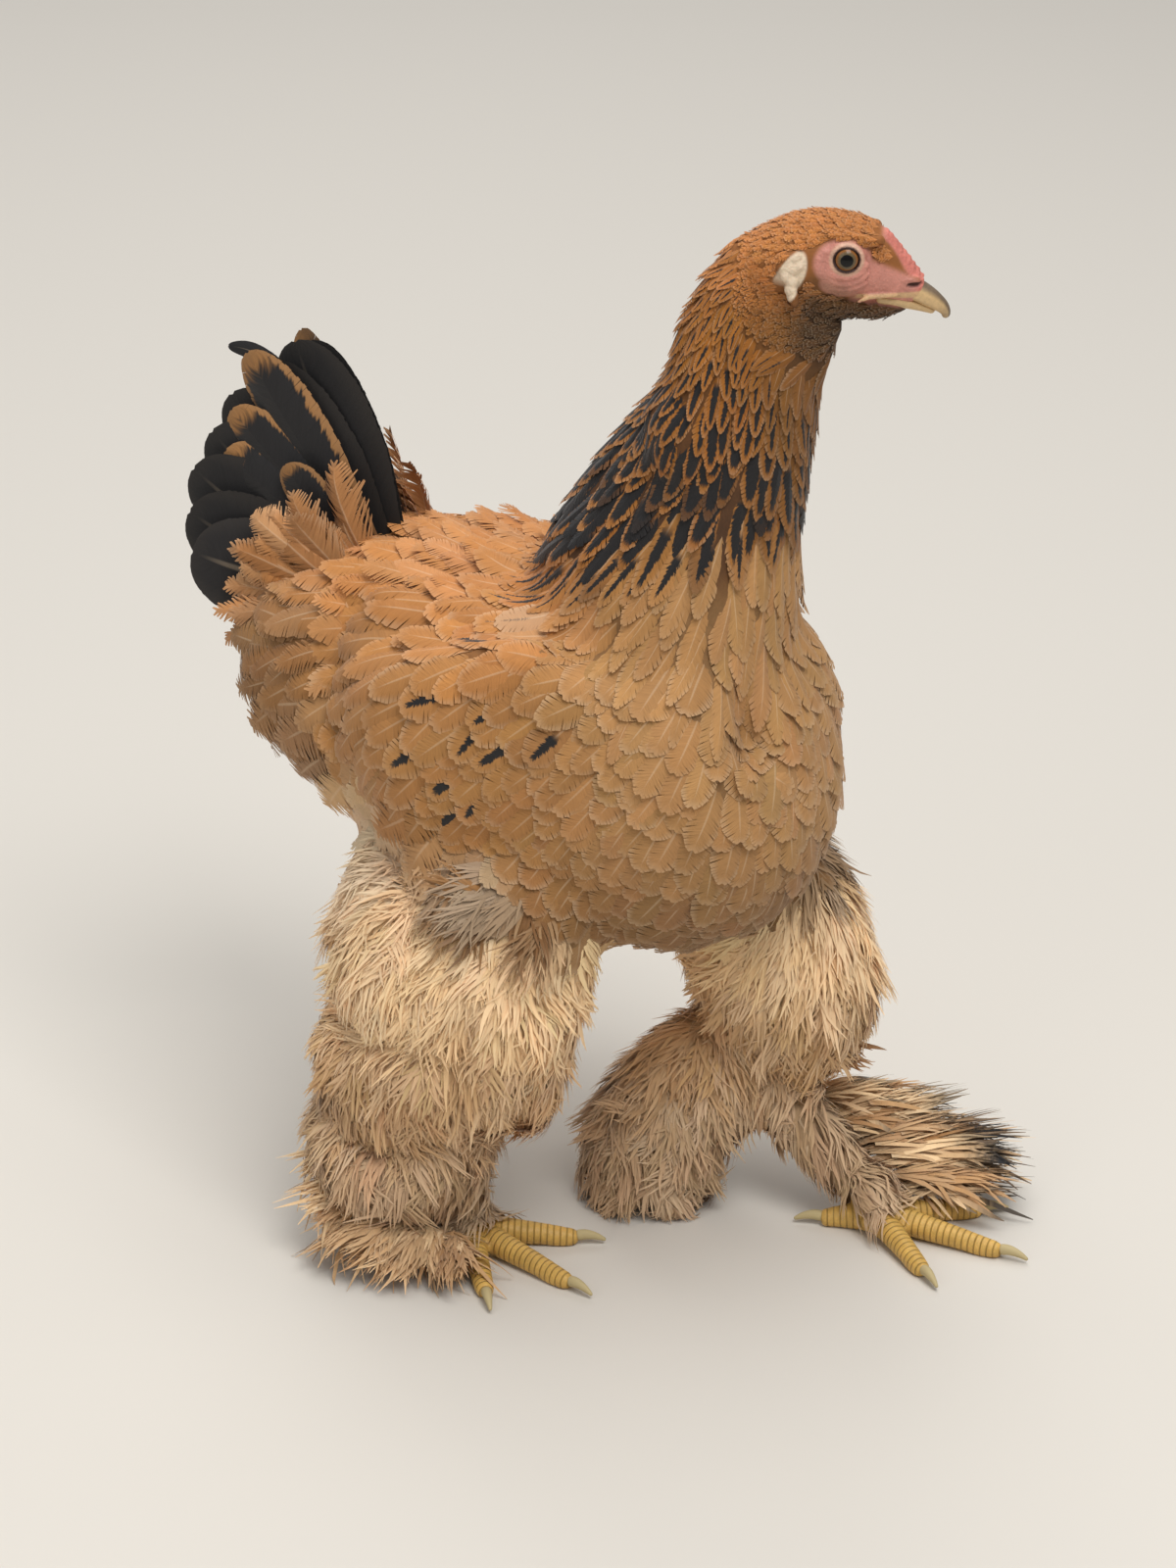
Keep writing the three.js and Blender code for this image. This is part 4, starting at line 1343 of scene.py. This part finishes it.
def build_skin():
    """One skin for the body, the head and the feet, with the tables that the coat needs."""
    body = body_form()
    head = head_form()
    places = vertices_of(head)
    beakward, left, up = to_head(places).T
    inward = -np.sign(left)[:, None] * HEAD_AXES[1]
    set_vertices(head, places + inward * (nostril_depth(beakward, up) * 1.3 * MILLI)[:, None])
    united(body, head)
    for label, _ in SIDES:
        united(body, foot_form(label))
    body.name = body.data.name = "skin"
    mesh = body.data
    mesh.polygons.foreach_set("use_smooth", [True] * len(mesh.polygons))
    points = vertices_of(body)
    bare = skin_masks(points)
    set_colour(mesh, "tint", skin_tint(points))
    set_colour(mesh, "bare", np.stack([bare[name] for name in ("face", "comb", "lobe", "toes")], axis=1))
    layer = mesh.attributes.new("plates", "FLOAT", "POINT")
    layer.data.foreach_set("value", toe_plates(points))
    mesh.materials.clear()
    mesh.materials.append(skin_material())
    finish_piece(body, BODY_NODES + LEG_NODES + HEAD_NODES + TOE_NODES)
    guide = unwrapped(body)
    SURFACES["skin"] = Surface(body, guide)
    SURFACES["regions"] = regions_of(SURFACES["skin"])
    bpy.data.objects.remove(guide)


def unwrapped(skin):
    """A coarse copy of the skin's shape with an unwrap for baking."""
    guide = skin.copy()
    guide.data = skin.data.copy()
    bpy.context.scene.collection.objects.link(guide)
    remeshed(guide, GUIDE_VOXEL)
    bpy.context.view_layer.objects.active = guide
    guide.select_set(True)
    guide.data.uv_layers.new(name="OFBake")
    bpy.ops.object.mode_set(mode="EDIT")
    bpy.ops.mesh.select_all(action="SELECT")
    bpy.ops.uv.smart_project(angle_limit=math.radians(66), island_margin=0.01)
    bpy.ops.object.mode_set(mode="OBJECT")
    guide.select_set(False)
    return guide


def regions_of(surface):
    """The CAD node that each triangle of the skin lies nearest to."""
    names = BODY_NODES + LEG_NODES + HEAD_NODES + TOE_NODES
    points = []
    faces = []
    owners = []
    for index, name in enumerate(names):
        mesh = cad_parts[name].data
        count = len(points)
        points.extend(vertex.co[:] for vertex in mesh.vertices)
        faces.extend([corner + count for corner in face.vertices] for face in mesh.polygons)
        owners.extend([index] * len(mesh.polygons))
    tree = BVHTree.FromPolygons(points, faces)
    nearest = [owners[tree.find_nearest(Vector(centre))[2]] for centre in surface.centres]
    return np.array(names)[nearest]


def feather_regions():
    """Masks over the skin's triangles for each piece of the coat."""
    surface = SURFACES["skin"]
    region = SURFACES["regions"]
    forward, left, up = on_hen(surface.centres)
    bare = skin_masks(surface.centres)
    covered = np.maximum.reduce([bare["face"], bare["comb"], bare["lobe"], bare["toes"]]) < 0.4
    beakward, _, head_up = to_head(surface.centres).T
    head = (np.linalg.norm(to_head(surface.centres) + [6, 0, 0], axis=1) < 46) & (beakward > -42) & (up > 470)
    wing = in_wing(surface.centres) > 0.5
    leg = np.isin(region, LEG_NODES)
    neck = (region == "neck") | np.isin(region, HEAD_NODES)
    toes = np.isin(region, TOE_NODES)
    trunk = np.isin(region, ["trunk", "wing_left", "wing_right"]) & ~wing
    return {
        "head_feathers": head & covered,
        "neck_feathers": neck & ~head & covered,
        "wing_feathers": wing,
        "breast_feathers": trunk & (forward > -60) & (left > 0),
        "chest_feathers": trunk & (forward > -60) & (left <= 0),
        "saddle_feathers": trunk & (forward <= -60) & (up > 285),
        "rump_feathers": trunk & (forward <= -60) & (up <= 285),
        "thigh_feathers_left": leg & (up > 92) & (left > 0),
        "thigh_feathers_right": leg & (up > 92) & (left <= 0),
        "hock_feathers_left": leg & (up <= 92) & (up > 14) & covered & ~toes & (left > 0),
        "hock_feathers_right": leg & (up <= 92) & (up > 14) & covered & ~toes & (left <= 0),
    }


def by_place(function):
    """Wraps a size that depends on forward, left and up in millimetres."""
    return lambda places: function(*on_hen(places))


def wing_feather_length(forward, left, up):
    """Longer to the rear, but none reaches far past the folded wing's own edge."""
    rear = np.interp(up, [227, 254, 332], [-104, -134, -140])
    return np.clip(np.minimum(36 + 26 * ramp(forward, -30, -100), (forward - rear) / 0.75 + 16), 16, 62)


def body_plans():
    """Spacing, length, width and rise of the feathers of each part of the hen, in millimetres."""
    oval = patterns(22, "oval", 0.22, 10, raggedness=0.018)
    soft = patterns(24, "oval", 0.6, 20, raggedness=0.08, sweep=0.16)
    down = tufts(26, 30)
    pointed = patterns(16, "pointed", 0.25, 40, steps=2)
    tiny = patterns(4, "oval", 0.5, 50, steps=1, sweep=0.2)
    long = patterns(18, "oval", 0.22, 60)
    neck_length = by_place(lambda f, l, up: 16 + 34 * ramp(up, 510, 380))
    neck_width = by_place(lambda f, l, up: 5.5 + 11 * ramp(up, 510, 390))
    neck_spacing = by_place(lambda f, l, up: 3.6 + 3.9 * ramp(up, 510, 380))
    wing_length = by_place(wing_feather_length)
    breast = dict(
        spacing=constant(7.2), length=constant(34), width=constant(20), rise=constant(3.4),
        marks=body_marks, patterns=oval, wander=0.09, camber=0.25, stiffness=0.15,
    )
    thigh = dict(
        spacing=constant(5.6), length=constant(40), width=constant(18), rise=constant(6),
        marks=plain_marks, patterns=down, wander=0.34, camber=0.15, curl_spread=0.08, stiffness=0.25,
    )
    hock = dict(
        spacing=constant(5.2), length=constant(36), width=constant(17), rise=constant(8),
        marks=plain_marks, patterns=down, wander=0.42, camber=0.15, curl_spread=0.1, stiffness=0.25,
    )
    return {
        "head_feathers": dict(
            spacing=constant(1.8), length=constant(7.5), width=constant(3.4), rise=constant(1.3),
            marks=neck_marks, patterns=tiny, wander=0.13, camber=0.3,
        ),
        "neck_feathers": dict(
            spacing=neck_spacing, length=neck_length, width=neck_width, rise=constant(3.0),
            marks=neck_marks, patterns=pointed, wander=0.1, camber=0.35,
        ),
        "wing_feathers": dict(
            spacing=constant(8.5), length=wing_length, width=constant(22), rise=constant(5),
            marks=body_marks, patterns=long, wander=0.08, camber=0.3, stiffness=0.3,
        ),
        "breast_feathers": breast,
        "chest_feathers": breast,
        "saddle_feathers": dict(
            spacing=constant(8.5), length=constant(42), width=constant(19), rise=constant(6.5),
            marks=plain_marks, patterns=soft + oval, wander=0.16, camber=0.3, curl_spread=0.05, stiffness=0.2,
        ),
        "rump_feathers": dict(
            spacing=constant(9), length=constant(44), width=constant(30), rise=constant(7),
            marks=plain_marks, patterns=soft, wander=0.15, camber=0.3, curl_spread=0.04, stiffness=0.2,
        ),
        "thigh_feathers_left": thigh,
        "thigh_feathers_right": thigh,
        "hock_feathers_left": hock,
        "hock_feathers_right": hock,
    }


def blade_rows(root, tip, width, normal, sag, cup, root_width=0.35):
    """Control points of one stiff feather from a root to a tip, in millimetres on the hen."""
    root = at(*root)
    tip = at(*tip)
    normal = unit(along(*normal))
    way = tip - root
    shares = np.linspace(0, 1, STATIONS)[:, None]
    spine = root + way * shares + np.asarray(along(*sag)) * MILLI * 4 * shares * (1 - shares)
    tangents = unit(np.gradient(spine, axis=0))
    across = unit(np.cross(tangents, normal))
    widths = width * MILLI / 2 * np.array([root_width, 0.85, 1, 1, 1])[:, None]
    ups = unit(np.cross(across, tangents))
    sunk = ups * widths * cup
    rows = np.stack([spine - across * widths - sunk, spine, spine + across * widths - sunk], axis=1)
    return rows, np.repeat(ups[:, None], 3, axis=1)


def fan_point(length, rise, splay, side, outward=0.0):
    """A point of the tail's fan, at a distance from its root, as forward, left and up."""
    up, out = math.radians(rise), math.radians(splay)
    flat = length * math.cos(up)
    forward, left, height = TAIL_ROOT
    return (
        forward - flat * math.cos(out),
        left + side * (flat * math.sin(out) + outward),
        height + length * math.sin(up),
    )


class Blades:
    """Stiff feathers placed one by one, each with its colour and marks."""

    def __init__(self):
        self.placed = []

    def place(self, rows, colour, marks):
        self.placed.append((*rows, colour, marks))

    def join(self, coat, kinds, camber, curl=0.0):
        """Adds them all to a coat."""
        rows, ups, colours, marks = (np.array(part) for part in zip(*self.placed))
        roots = rows[:, 0, 1]
        lengths = np.linalg.norm(rows[:, -1, 1] - roots, axis=1)
        spots = SURFACES["skin"].unwrap_at(roots)
        coat.add(kinds, rows, ups, np.zeros(len(rows)), lengths, colours, marks, spots, camber, curl)


def build_tail(material, rng):
    """Main tail feathers in two leaning rows, and one thin curved feather above them."""
    broad = patterns(60, "broad", 0.0, 70, raggedness=0.012, sweep=0.03)
    tail = Coat("tail_feathers", 71)
    blades = Blades()
    count = bpy.context.scene.hen.tail_feathers
    for _, side in SIDES:
        for i in range(count):
            share = i / (count - 1)
            rise = 61 - 50 * share
            splay = 2 + 13 * share
            length = 141 - 32 * share**2 + rng.normal(0, 2)
            outward = 2 + 3.3 * i
            root = fan_point(18, rise, splay, side, outward * 0.4)
            tip = fan_point(length, rise, splay, side, outward)
            sag = (-3, side * 2, -3 + rng.normal(0, 1))
            rows = blade_rows(root, tip, 56 - 4 * share, (0, side, 0.12 * share), sag, 0.1, 0.6)
            blades.place(rows, paint("black") * rng.uniform(0.8, 1.4), (0, 0.05, 0, 0))
    thin = blade_rows(fan_point(100, 56, 1, -1), (-269, -2, 405), 9, (0, -1, 0.3), (0, 0, 9), 0.1, 0.8)
    blades.place(thin, paint("black"), (0, 0, 0, 0))
    blades.join(tail, broad, 0.05)
    tail.build(material, "black_feathers", ["tail"])


def build_coverts(material, rng):
    """Laced coverts over each side of the tail, and loose brown ones round its root."""
    broad = patterns(50, "broad", 0.05, 80, raggedness=0.015, sweep=0.03)
    soft = patterns(24, "oval", 0.6, 85, raggedness=0.08, sweep=0.16)
    for label, side in SIDES:
        coverts = Coat("covert_feathers_" + label, 81)
        laced = Blades()
        for length, rise, outward, width in LACED_COVERTS:
            root = fan_point(26, rise + 3, 6, side, outward * 0.7)
            tip = fan_point(length, rise, 6, side, outward)
            sag = (-2, side * rng.uniform(2, 4), 3)
            rows = blade_rows(root, tip, width, (0, side, 0.2), sag, 0.14, 0.6)
            laced.place(rows, paint("side") * rng.uniform(0.62, 0.8), (LACE_STRIPE, 0.2, 0, 0))
        laced.join(coverts, broad, 0.12)
        loose = Blades()
        for copy in range(LOOSE_COVERTS + HIGH_COVERTS):
            high = copy >= LOOSE_COVERTS
            lean = rng.uniform(50, 64) if high else rng.uniform(-5, 48)
            out = rng.uniform(9, 20) if high else rng.uniform(22, 36)
            root = fan_point(rng.uniform(-6, 26), lean, 8, side, out * 0.8)
            reach = rng.uniform(50, 84)
            tip = fan_point(reach, lean + rng.normal(0, 12), 10, side, out + rng.uniform(0, 8))
            sag = (-4, side * rng.uniform(3, 9), rng.uniform(2, 9))
            rows = blade_rows(root, tip, rng.uniform(16, 25), (0, side, 0.5), sag, 0.3)
            colour = mix(paint("saddle"), paint("fluff"), rng.uniform(0, 0.2)) * rng.uniform(0.62, 1.0)
            loose.place(rows, colour, (0, rng.uniform(0.2, 0.6), 0, rng.uniform(0, 0.1)))
        loose.join(coverts, soft, 0.3, rng.normal(-0.06, 0.09, len(loose.placed)))
        coverts.build(material, "black_feathers", ["tail_coverts_" + label])


# Where the stiff feathers of each foot start and end
PLUMES = {
    "left": [
        ((24, 76, 46), (62, 124, 46)), ((34, 78, 42), (78, 136, 44)), ((42, 78, 36), (94, 146, 40)),
        ((50, 80, 32), (108, 150, 33)), ((58, 80, 27), (120, 149, 26)), ((64, 81, 24), (129, 140, 20)),
        ((72, 82, 20), (130, 128, 14)), ((78, 82, 17), (125, 114, 10)),
    ],
    "right": [
        ((-118, -88, 46), (-150, -118, 40)), ((-112, -91, 38), (-146, -128, 27)),
        ((-106, -93, 31), (-136, -136, 16)), ((-98, -94, 26), (-118, -141, 10)),
        ((-90, -93, 22), (-98, -140, 7)), ((-84, -91, 19), (-78, -133, 6)),
        ((-78, -89, 16), (-58, -120, 5)), ((-74, -87, 14), (-46, -108, 5)),
    ],
}


def build_plumes(material):
    """Stiff feathers off the outer side of each shank and outer toe."""
    rng = np.random.default_rng(PLUME_SEED)
    strands = tufts(30, 90)
    for label, side in SIDES:
        coat = Coat("plume_feathers_" + label, 91)
        blades = Blades()
        for root, tip in PLUMES[label]:
            for _ in range(bpy.context.scene.hen.plumes):
                reach = rng.uniform(0.5, 0.94)
                aim = np.array(tip) + rng.normal(0, 4, 3)
                start = np.array(root) + rng.normal(0, 3, 3)
                end = start + (aim - start) * reach
                end[2] = max(end[2], 5)
                start[2] = max(start[2], 9)
                normal = (rng.normal(0, 0.3), side * 0.3, 1)
                sag = (rng.normal(0, 3), 0, rng.uniform(1, 7))
                rows = blade_rows(start, end, rng.uniform(12, 20), normal, sag, 0.4)
                colour = mix(paint("fluff"), paint("side"), rng.random()) * rng.uniform(0.8, 1.05)
                dark = label == "left" and reach > 0.68 and rng.random() < 0.6
                blackness = rng.uniform(0.6, 1.0) if dark else 0.0
                blades.place(rows, colour, (0, 0.4, blackness, rng.uniform(0, 0.3)))
        blades.join(coat, strands, 0.12)
        coat.build(material, "leg_fluff", ["plumes_" + label])


def build_eyes():
    """Two eyeballs that look out sideways, set back behind the lids."""
    material = eye_material()
    for label, side in SIDES:
        points, faces = ball((0, 0, 0), (EYE_RADIUS,) * 3, 36, 64)
        points = np.stack([points[:, 0], points[:, 2] * side, points[:, 1] * side], axis=1)
        radius = np.hypot(points[:, 0], points[:, 2])
        radius = np.where(points[:, 1] * side > 0, radius, EYE_RADIUS)
        angle = np.arctan2(points[:, 2], points[:, 0])
        eye = new_object("eyeball_" + label, in_head(points + [0, side * EYE_SPREAD, 0]), faces)
        layer = eye.data.attributes.new("eye", "FLOAT_VECTOR", "POINT")
        layer.data.foreach_set("vector", np.stack([radius, angle, angle * 0], axis=1).ravel())
        eye.data.materials.append(material)
        outward(eye)
        finish_piece(eye, ["eye_" + label])


def build_beak():
    """Two horn sheaths: a hooked upper one over a shorter lower one."""
    material = horn_material()
    upper = [
        [24, 28.4, 32.6, 36.6, 40.4, 43.6, 46.4, 48.4, 49.4],
        [-15.2, -15.5, -16.0, -17.0, -18.2, -19.5, -21.0, -23.0, -25.8],
        [7.2, 6.8, 6.2, 5.6, 4.8, 3.9, 3.0, 2.1, 1.1],
        [7.8, 7.4, 6.8, 6.2, 5.4, 4.5, 3.6, 2.6, 1.5],
        [2.6, 2.7, 2.8, 3.0, 3.2, 3.0, 2.6, 2.0, 1.4],
    ]
    lower = [
        [16, 22, 27, 32, 36.5, 40.5, 44],
        [-19.4, -19.2, -19.4, -20.0, -20.9, -22.0, -23.2],
        [6.6, 6.1, 5.6, 4.8, 3.8, 2.8, 1.6],
        [1.8, 1.9, 2.0, 1.9, 1.6, 1.2, 0.9],
        [4.0, 4.0, 4.0, 3.6, 3.0, 2.3, 1.6],
    ]
    for name, table, culmen in (("upper", upper, 1.0), ("lower", lower, 0.0)):
        x, z, across, above, below = table
        centres = np.stack([x, np.zeros(len(x)), z], axis=1)
        points, faces, way, turn = tube(centres, across, above, (0, 1, 0), below, 60, 48, (0.06, 0.06), 2.3)
        made = new_object("beak_sheath_" + name, in_head(points), faces)
        outward(made)
        height = np.sin(turn)
        dark = ramp(height, 0.35, 0.85) * culmen + ramp(way, 0.6, 1.0) * 0.5 * culmen
        pale = np.repeat(paint("horn_pale")[None], len(points), axis=0)
        tint = mix(pale, paint("horn_dark"), np.clip(dark, 0, 1) * 0.85)
        set_colour(made.data, "tint", tint)
        made.data.materials.append(material)
        finish_piece(made, ["beak_" + name])


def build_claws():
    """Curved claws, blunt and flat beneath."""
    material = bpy.data.materials["horn"]
    for label, _ in SIDES:
        for name, (heading, length) in TOES.items():
            steps, ups, across, above = zip(*CLAW_STATIONS)
            centres = [foot_point(label, heading, length + step, up) / MILLI for step, up in zip(steps, ups)]
            side = np.cross(centres[-1] - centres[0], (0, 0, 1))
            points, faces, way, _ = tube(centres, across, above, side, rings=20, sides=20, caps=(0.08, 0.05))
            points[:, 2] = np.maximum(points[:, 2], 0.3)
            made = new_object("nail_" + label + "_" + name, points * MILLI, faces)
            outward(made)
            pale = np.repeat(paint("claws")[None], len(points), axis=0)
            tint = mix(pale, paint("horn_dark"), 0.35 * ramp(way, 0.0, 0.25) * 0.4)
            set_colour(made.data, "tint", tint)
            made.data.materials.append(material)
            finish_piece(made, ["claw_" + label + "_" + name])


# Stage

CAMERA_AT = (-1.64062, -1.19817, 1.17265)
CAMERA_RIGHT = (0.58779, -0.80902, 0)
CAMERA_UP = (0.34190, 0.24841, 0.90631)
CAMERA_BACK = (-0.73322, -0.53272, 0.42262)
CAMERA_LENS = 108
FLOOR_REACH = 40
FLOOR_COLOUR = linear(214, 208, 198)
SKY_COLOUR = (0.86, 0.88, 0.92, 1)
SKY_STRENGTH = 0.3
LAMPS_LOOK_AT = (0, 0, 0.25)
# Each lamp: name, place, width and watts
LAMPS = [
    ("key", (-0.9, -1.6, 3.0), 1.6, 64),
    ("top", (0.2, 0.3, 3.4), 2.6, 56),
    ("fill", (-2.6, 0.2, 1.6), 1.8, 10),
    ("rim", (1.6, 1.8, 2.4), 1.4, 18),
]


def build_stage():
    """A pale floor, four soft lamps, a faint sky and the camera."""
    corners = [(x * FLOOR_REACH, y * FLOOR_REACH, 0) for x, y in ((-1, -1), (1, -1), (1, 1), (-1, 1))]
    floor = new_object("floor", corners, [(0, 1, 2, 3)], smooth=False)
    floor.data.materials.append(Sheet("floor", Base_Color=rgba(FLOOR_COLOUR), Roughness=0.9).material)
    for lamp in LAMPS:
        add_lamp(*lamp)
    world = bpy.data.worlds.new("studio")
    world.use_nodes = True
    sky = world.node_tree.nodes["Background"]
    sky.inputs["Color"].default_value = SKY_COLOUR
    sky.inputs["Strength"].default_value = SKY_STRENGTH
    bpy.context.scene.world = world
    camera = bpy.data.objects.new("camera", bpy.data.cameras.new("camera"))
    camera.data.lens = CAMERA_LENS
    turn = Matrix((CAMERA_RIGHT, CAMERA_UP, CAMERA_BACK)).transposed().to_4x4()
    camera.matrix_world = Matrix.Translation(CAMERA_AT) @ turn
    bpy.context.scene.collection.objects.link(camera)
    bpy.context.scene.camera = camera
    bpy.context.scene.view_settings.view_transform = "Standard"


def add_lamp(name, place, size, power):
    """A square soft lamp that looks at the middle of the hen."""
    light = bpy.data.lights.new(name, "AREA")
    light.size = size
    light.energy = power
    made = bpy.data.objects.new(name, light)
    made.location = place
    towards = Vector(LAMPS_LOOK_AT) - made.location
    made.rotation_euler = towards.to_track_quat("-Z", "Y").to_euler()
    bpy.context.scene.collection.objects.link(made)


# Add-on

def colour_setting(name, description, *screen):
    """A colour setting, whose default is given as it shows on a screen."""
    default = tuple(map(float, linear(*screen)))
    limits = dict(default=default, min=0, max=1)
    return FloatVectorProperty(name=name, description=description, subtype="COLOR", **limits)


class HenSettings(PropertyGroup):
    seed: IntProperty(name="Seed", description="Which random coat is grown", default=3, min=0)
    sheen: FloatProperty(
        name="Sheen", description="Soft light off the feathers' barbs",
        default=0.12, min=0, max=1, subtype="FACTOR",
    )
    tail_feathers: IntProperty(
        name="Tail feathers", description="Main feathers on each side of the tail", default=7, min=2
    )
    plumes: IntProperty(
        name="Plumes", description="Copies of each stiff feather of the feet", default=12, min=1
    )
    breast: colour_setting("Breast", "Feathers of the breast", 178, 132, 82)
    side: colour_setting("Side", "Feathers of the wings and sides", 176, 124, 70)
    saddle: colour_setting("Saddle", "Feathers of the back", 188, 124, 66)
    hackle: colour_setting("Hackle", "Edges of the neck's feathers", 158, 98, 34)
    crown: colour_setting("Crown", "Feathers of the head", 188, 118, 58)
    # The throat's own brown, also used for painted shade under the head and the jaw.
    throat_and_shade: colour_setting("Throat", "Feathers of the throat", 112, 76, 38)
    fluff: colour_setting("Fluff", "Down of the thighs", 246, 210, 160)
    pale: colour_setting("Pale", "Pale patches, shafts and feather edges", 236, 212, 180)
    # Painted shade near the floor, which the lowest down is mixed towards.
    down: colour_setting("Low down", "Grey in the down near the floor", 150, 138, 126)
    black: colour_setting("Black", "Tail, stripes and flecks", 34, 32, 32)
    face: colour_setting("Face", "Bare skin of the face", 200, 134, 118)
    cheek: colour_setting("Cheek", "Skin under the eye", 150, 108, 84)
    comb: colour_setting("Comb", "The pea comb", 206, 118, 104)
    lobe: colour_setting("Earlobe", "The pale earlobes", 226, 204, 176)
    toes: colour_setting("Toes", "Plates of the toes", 210, 168, 88)
    lids: colour_setting("Lids", "Rims of the eyelids", 214, 178, 150)
    lid_edge: colour_setting("Lid edge", "The dark line round the eye", 60, 36, 30)
    gape: colour_setting("Gape", "Corner of the mouth", 214, 180, 130)
    # Painted shade inside the nostril slits.
    nostril: colour_setting("Nostril", "Inside of the nostrils", 40, 22, 18)
    iris: colour_setting("Iris", "Outer part of the iris", 150, 92, 38)
    iris_inner: colour_setting("Inner iris", "Iris next to the pupil", 98, 84, 60)
    iris_edge: colour_setting("Iris edge", "Dark ring round the iris", 30, 20, 16)
    pupil: colour_setting("Pupil", "The pupil", 6, 5, 5)
    horn_pale: colour_setting("Pale horn", "Sides of the beak", 206, 172, 122)
    horn_dark: colour_setting("Dark horn", "Ridge of the beak", 86, 72, 62)
    claws: colour_setting("Claws", "Horn of the claws", 214, 190, 152)


class HEN_OT_skin(Operator):
    """Builds the one skin that stands for the body, the head and the toes"""

    bl_idname = "hen.skin"
    bl_label = "Skin"

    def execute(self, context):
        build_skin()
        return {"FINISHED"}


class HEN_OT_coat(Operator):
    """Grows the feathers of the head, the neck, the body and the legs"""

    bl_idname = "hen.coat"
    bl_label = "Coat"

    def execute(self, context):
        settings = context.scene.hen
        feathers = feather_material("feathers", settings.sheen)
        down = feather_material("down", settings.sheen * 2, shaft_show=0.0, contrast=0.25)
        regions = feather_regions()
        for index, (name, plan) in enumerate(body_plans().items()):
            seed = 100 * settings.seed + index
            coat = Coat(name, seed)
            cover(coat, SURFACES["skin"], regions[name], plan, seed)
            if name.startswith(("thigh", "hock")):
                coat.build(down, "leg_fluff")
            else:
                coat.build(feathers, "hackle_feathers" if name == "neck_feathers" else "buff_feathers")
        return {"FINISHED"}


class HEN_OT_tail(Operator):
    """Builds the tail and its coverts"""

    bl_idname = "hen.tail"
    bl_label = "Tail"

    def execute(self, context):
        rng = np.random.default_rng(TAIL_SEED)
        build_tail(bpy.data.materials["feathers"], rng)
        build_coverts(bpy.data.materials["feathers"], rng)
        return {"FINISHED"}


class HEN_OT_plumes(Operator):
    """Builds the stiff feathers of the feet"""

    bl_idname = "hen.plumes"
    bl_label = "Plumes"

    def execute(self, context):
        build_plumes(bpy.data.materials["feathers"])
        return {"FINISHED"}


class HEN_OT_eyes(Operator):
    """Builds the two eyes"""

    bl_idname = "hen.eyes"
    bl_label = "Eyes"

    def execute(self, context):
        build_eyes()
        return {"FINISHED"}


class HEN_OT_beak(Operator):
    """Builds the two halves of the beak"""

    bl_idname = "hen.beak"
    bl_label = "Beak"

    def execute(self, context):
        build_beak()
        return {"FINISHED"}


class HEN_OT_claws(Operator):
    """Builds the eight claws"""

    bl_idname = "hen.claws"
    bl_label = "Claws"

    def execute(self, context):
        build_claws()
        return {"FINISHED"}


class HEN_OT_stage(Operator):
    """Sets out the floor, the lights and the camera"""

    bl_idname = "hen.stage"
    bl_label = "Stage"

    def execute(self, context):
        build_stage()
        return {"FINISHED"}


class HEN_PT_panel(Panel):
    """Lists the hen's settings and the operators that build it"""

    bl_idname = "HEN_PT_panel"
    bl_label = "Hen"
    bl_space_type = "VIEW_3D"
    bl_region_type = "UI"
    bl_category = "Hen"

    def draw(self, context):
        for name in HenSettings.__annotations__:
            self.layout.prop(context.scene.hen, name)
        for operator in OPERATORS:
            self.layout.operator(operator.bl_idname)


OPERATORS = (
    HEN_OT_skin, HEN_OT_coat, HEN_OT_tail, HEN_OT_plumes,
    HEN_OT_eyes, HEN_OT_beak, HEN_OT_claws, HEN_OT_stage,
)


def register():
    for kind in (HenSettings, *OPERATORS, HEN_PT_panel):
        bpy.utils.register_class(kind)
    bpy.types.Scene.hen = PointerProperty(type=HenSettings)


def unregister():
    del bpy.types.Scene.hen
    for kind in (HEN_PT_panel, *reversed(OPERATORS), HenSettings):
        bpy.utils.unregister_class(kind)


def main():
    register()
    bpy.ops.hen.skin()
    bpy.ops.hen.coat()
    bpy.ops.hen.tail()
    bpy.ops.hen.plumes()
    bpy.ops.hen.eyes()
    bpy.ops.hen.beak()
    bpy.ops.hen.claws()
    bpy.ops.hen.stage()


if __name__ == "__main__":
    main()
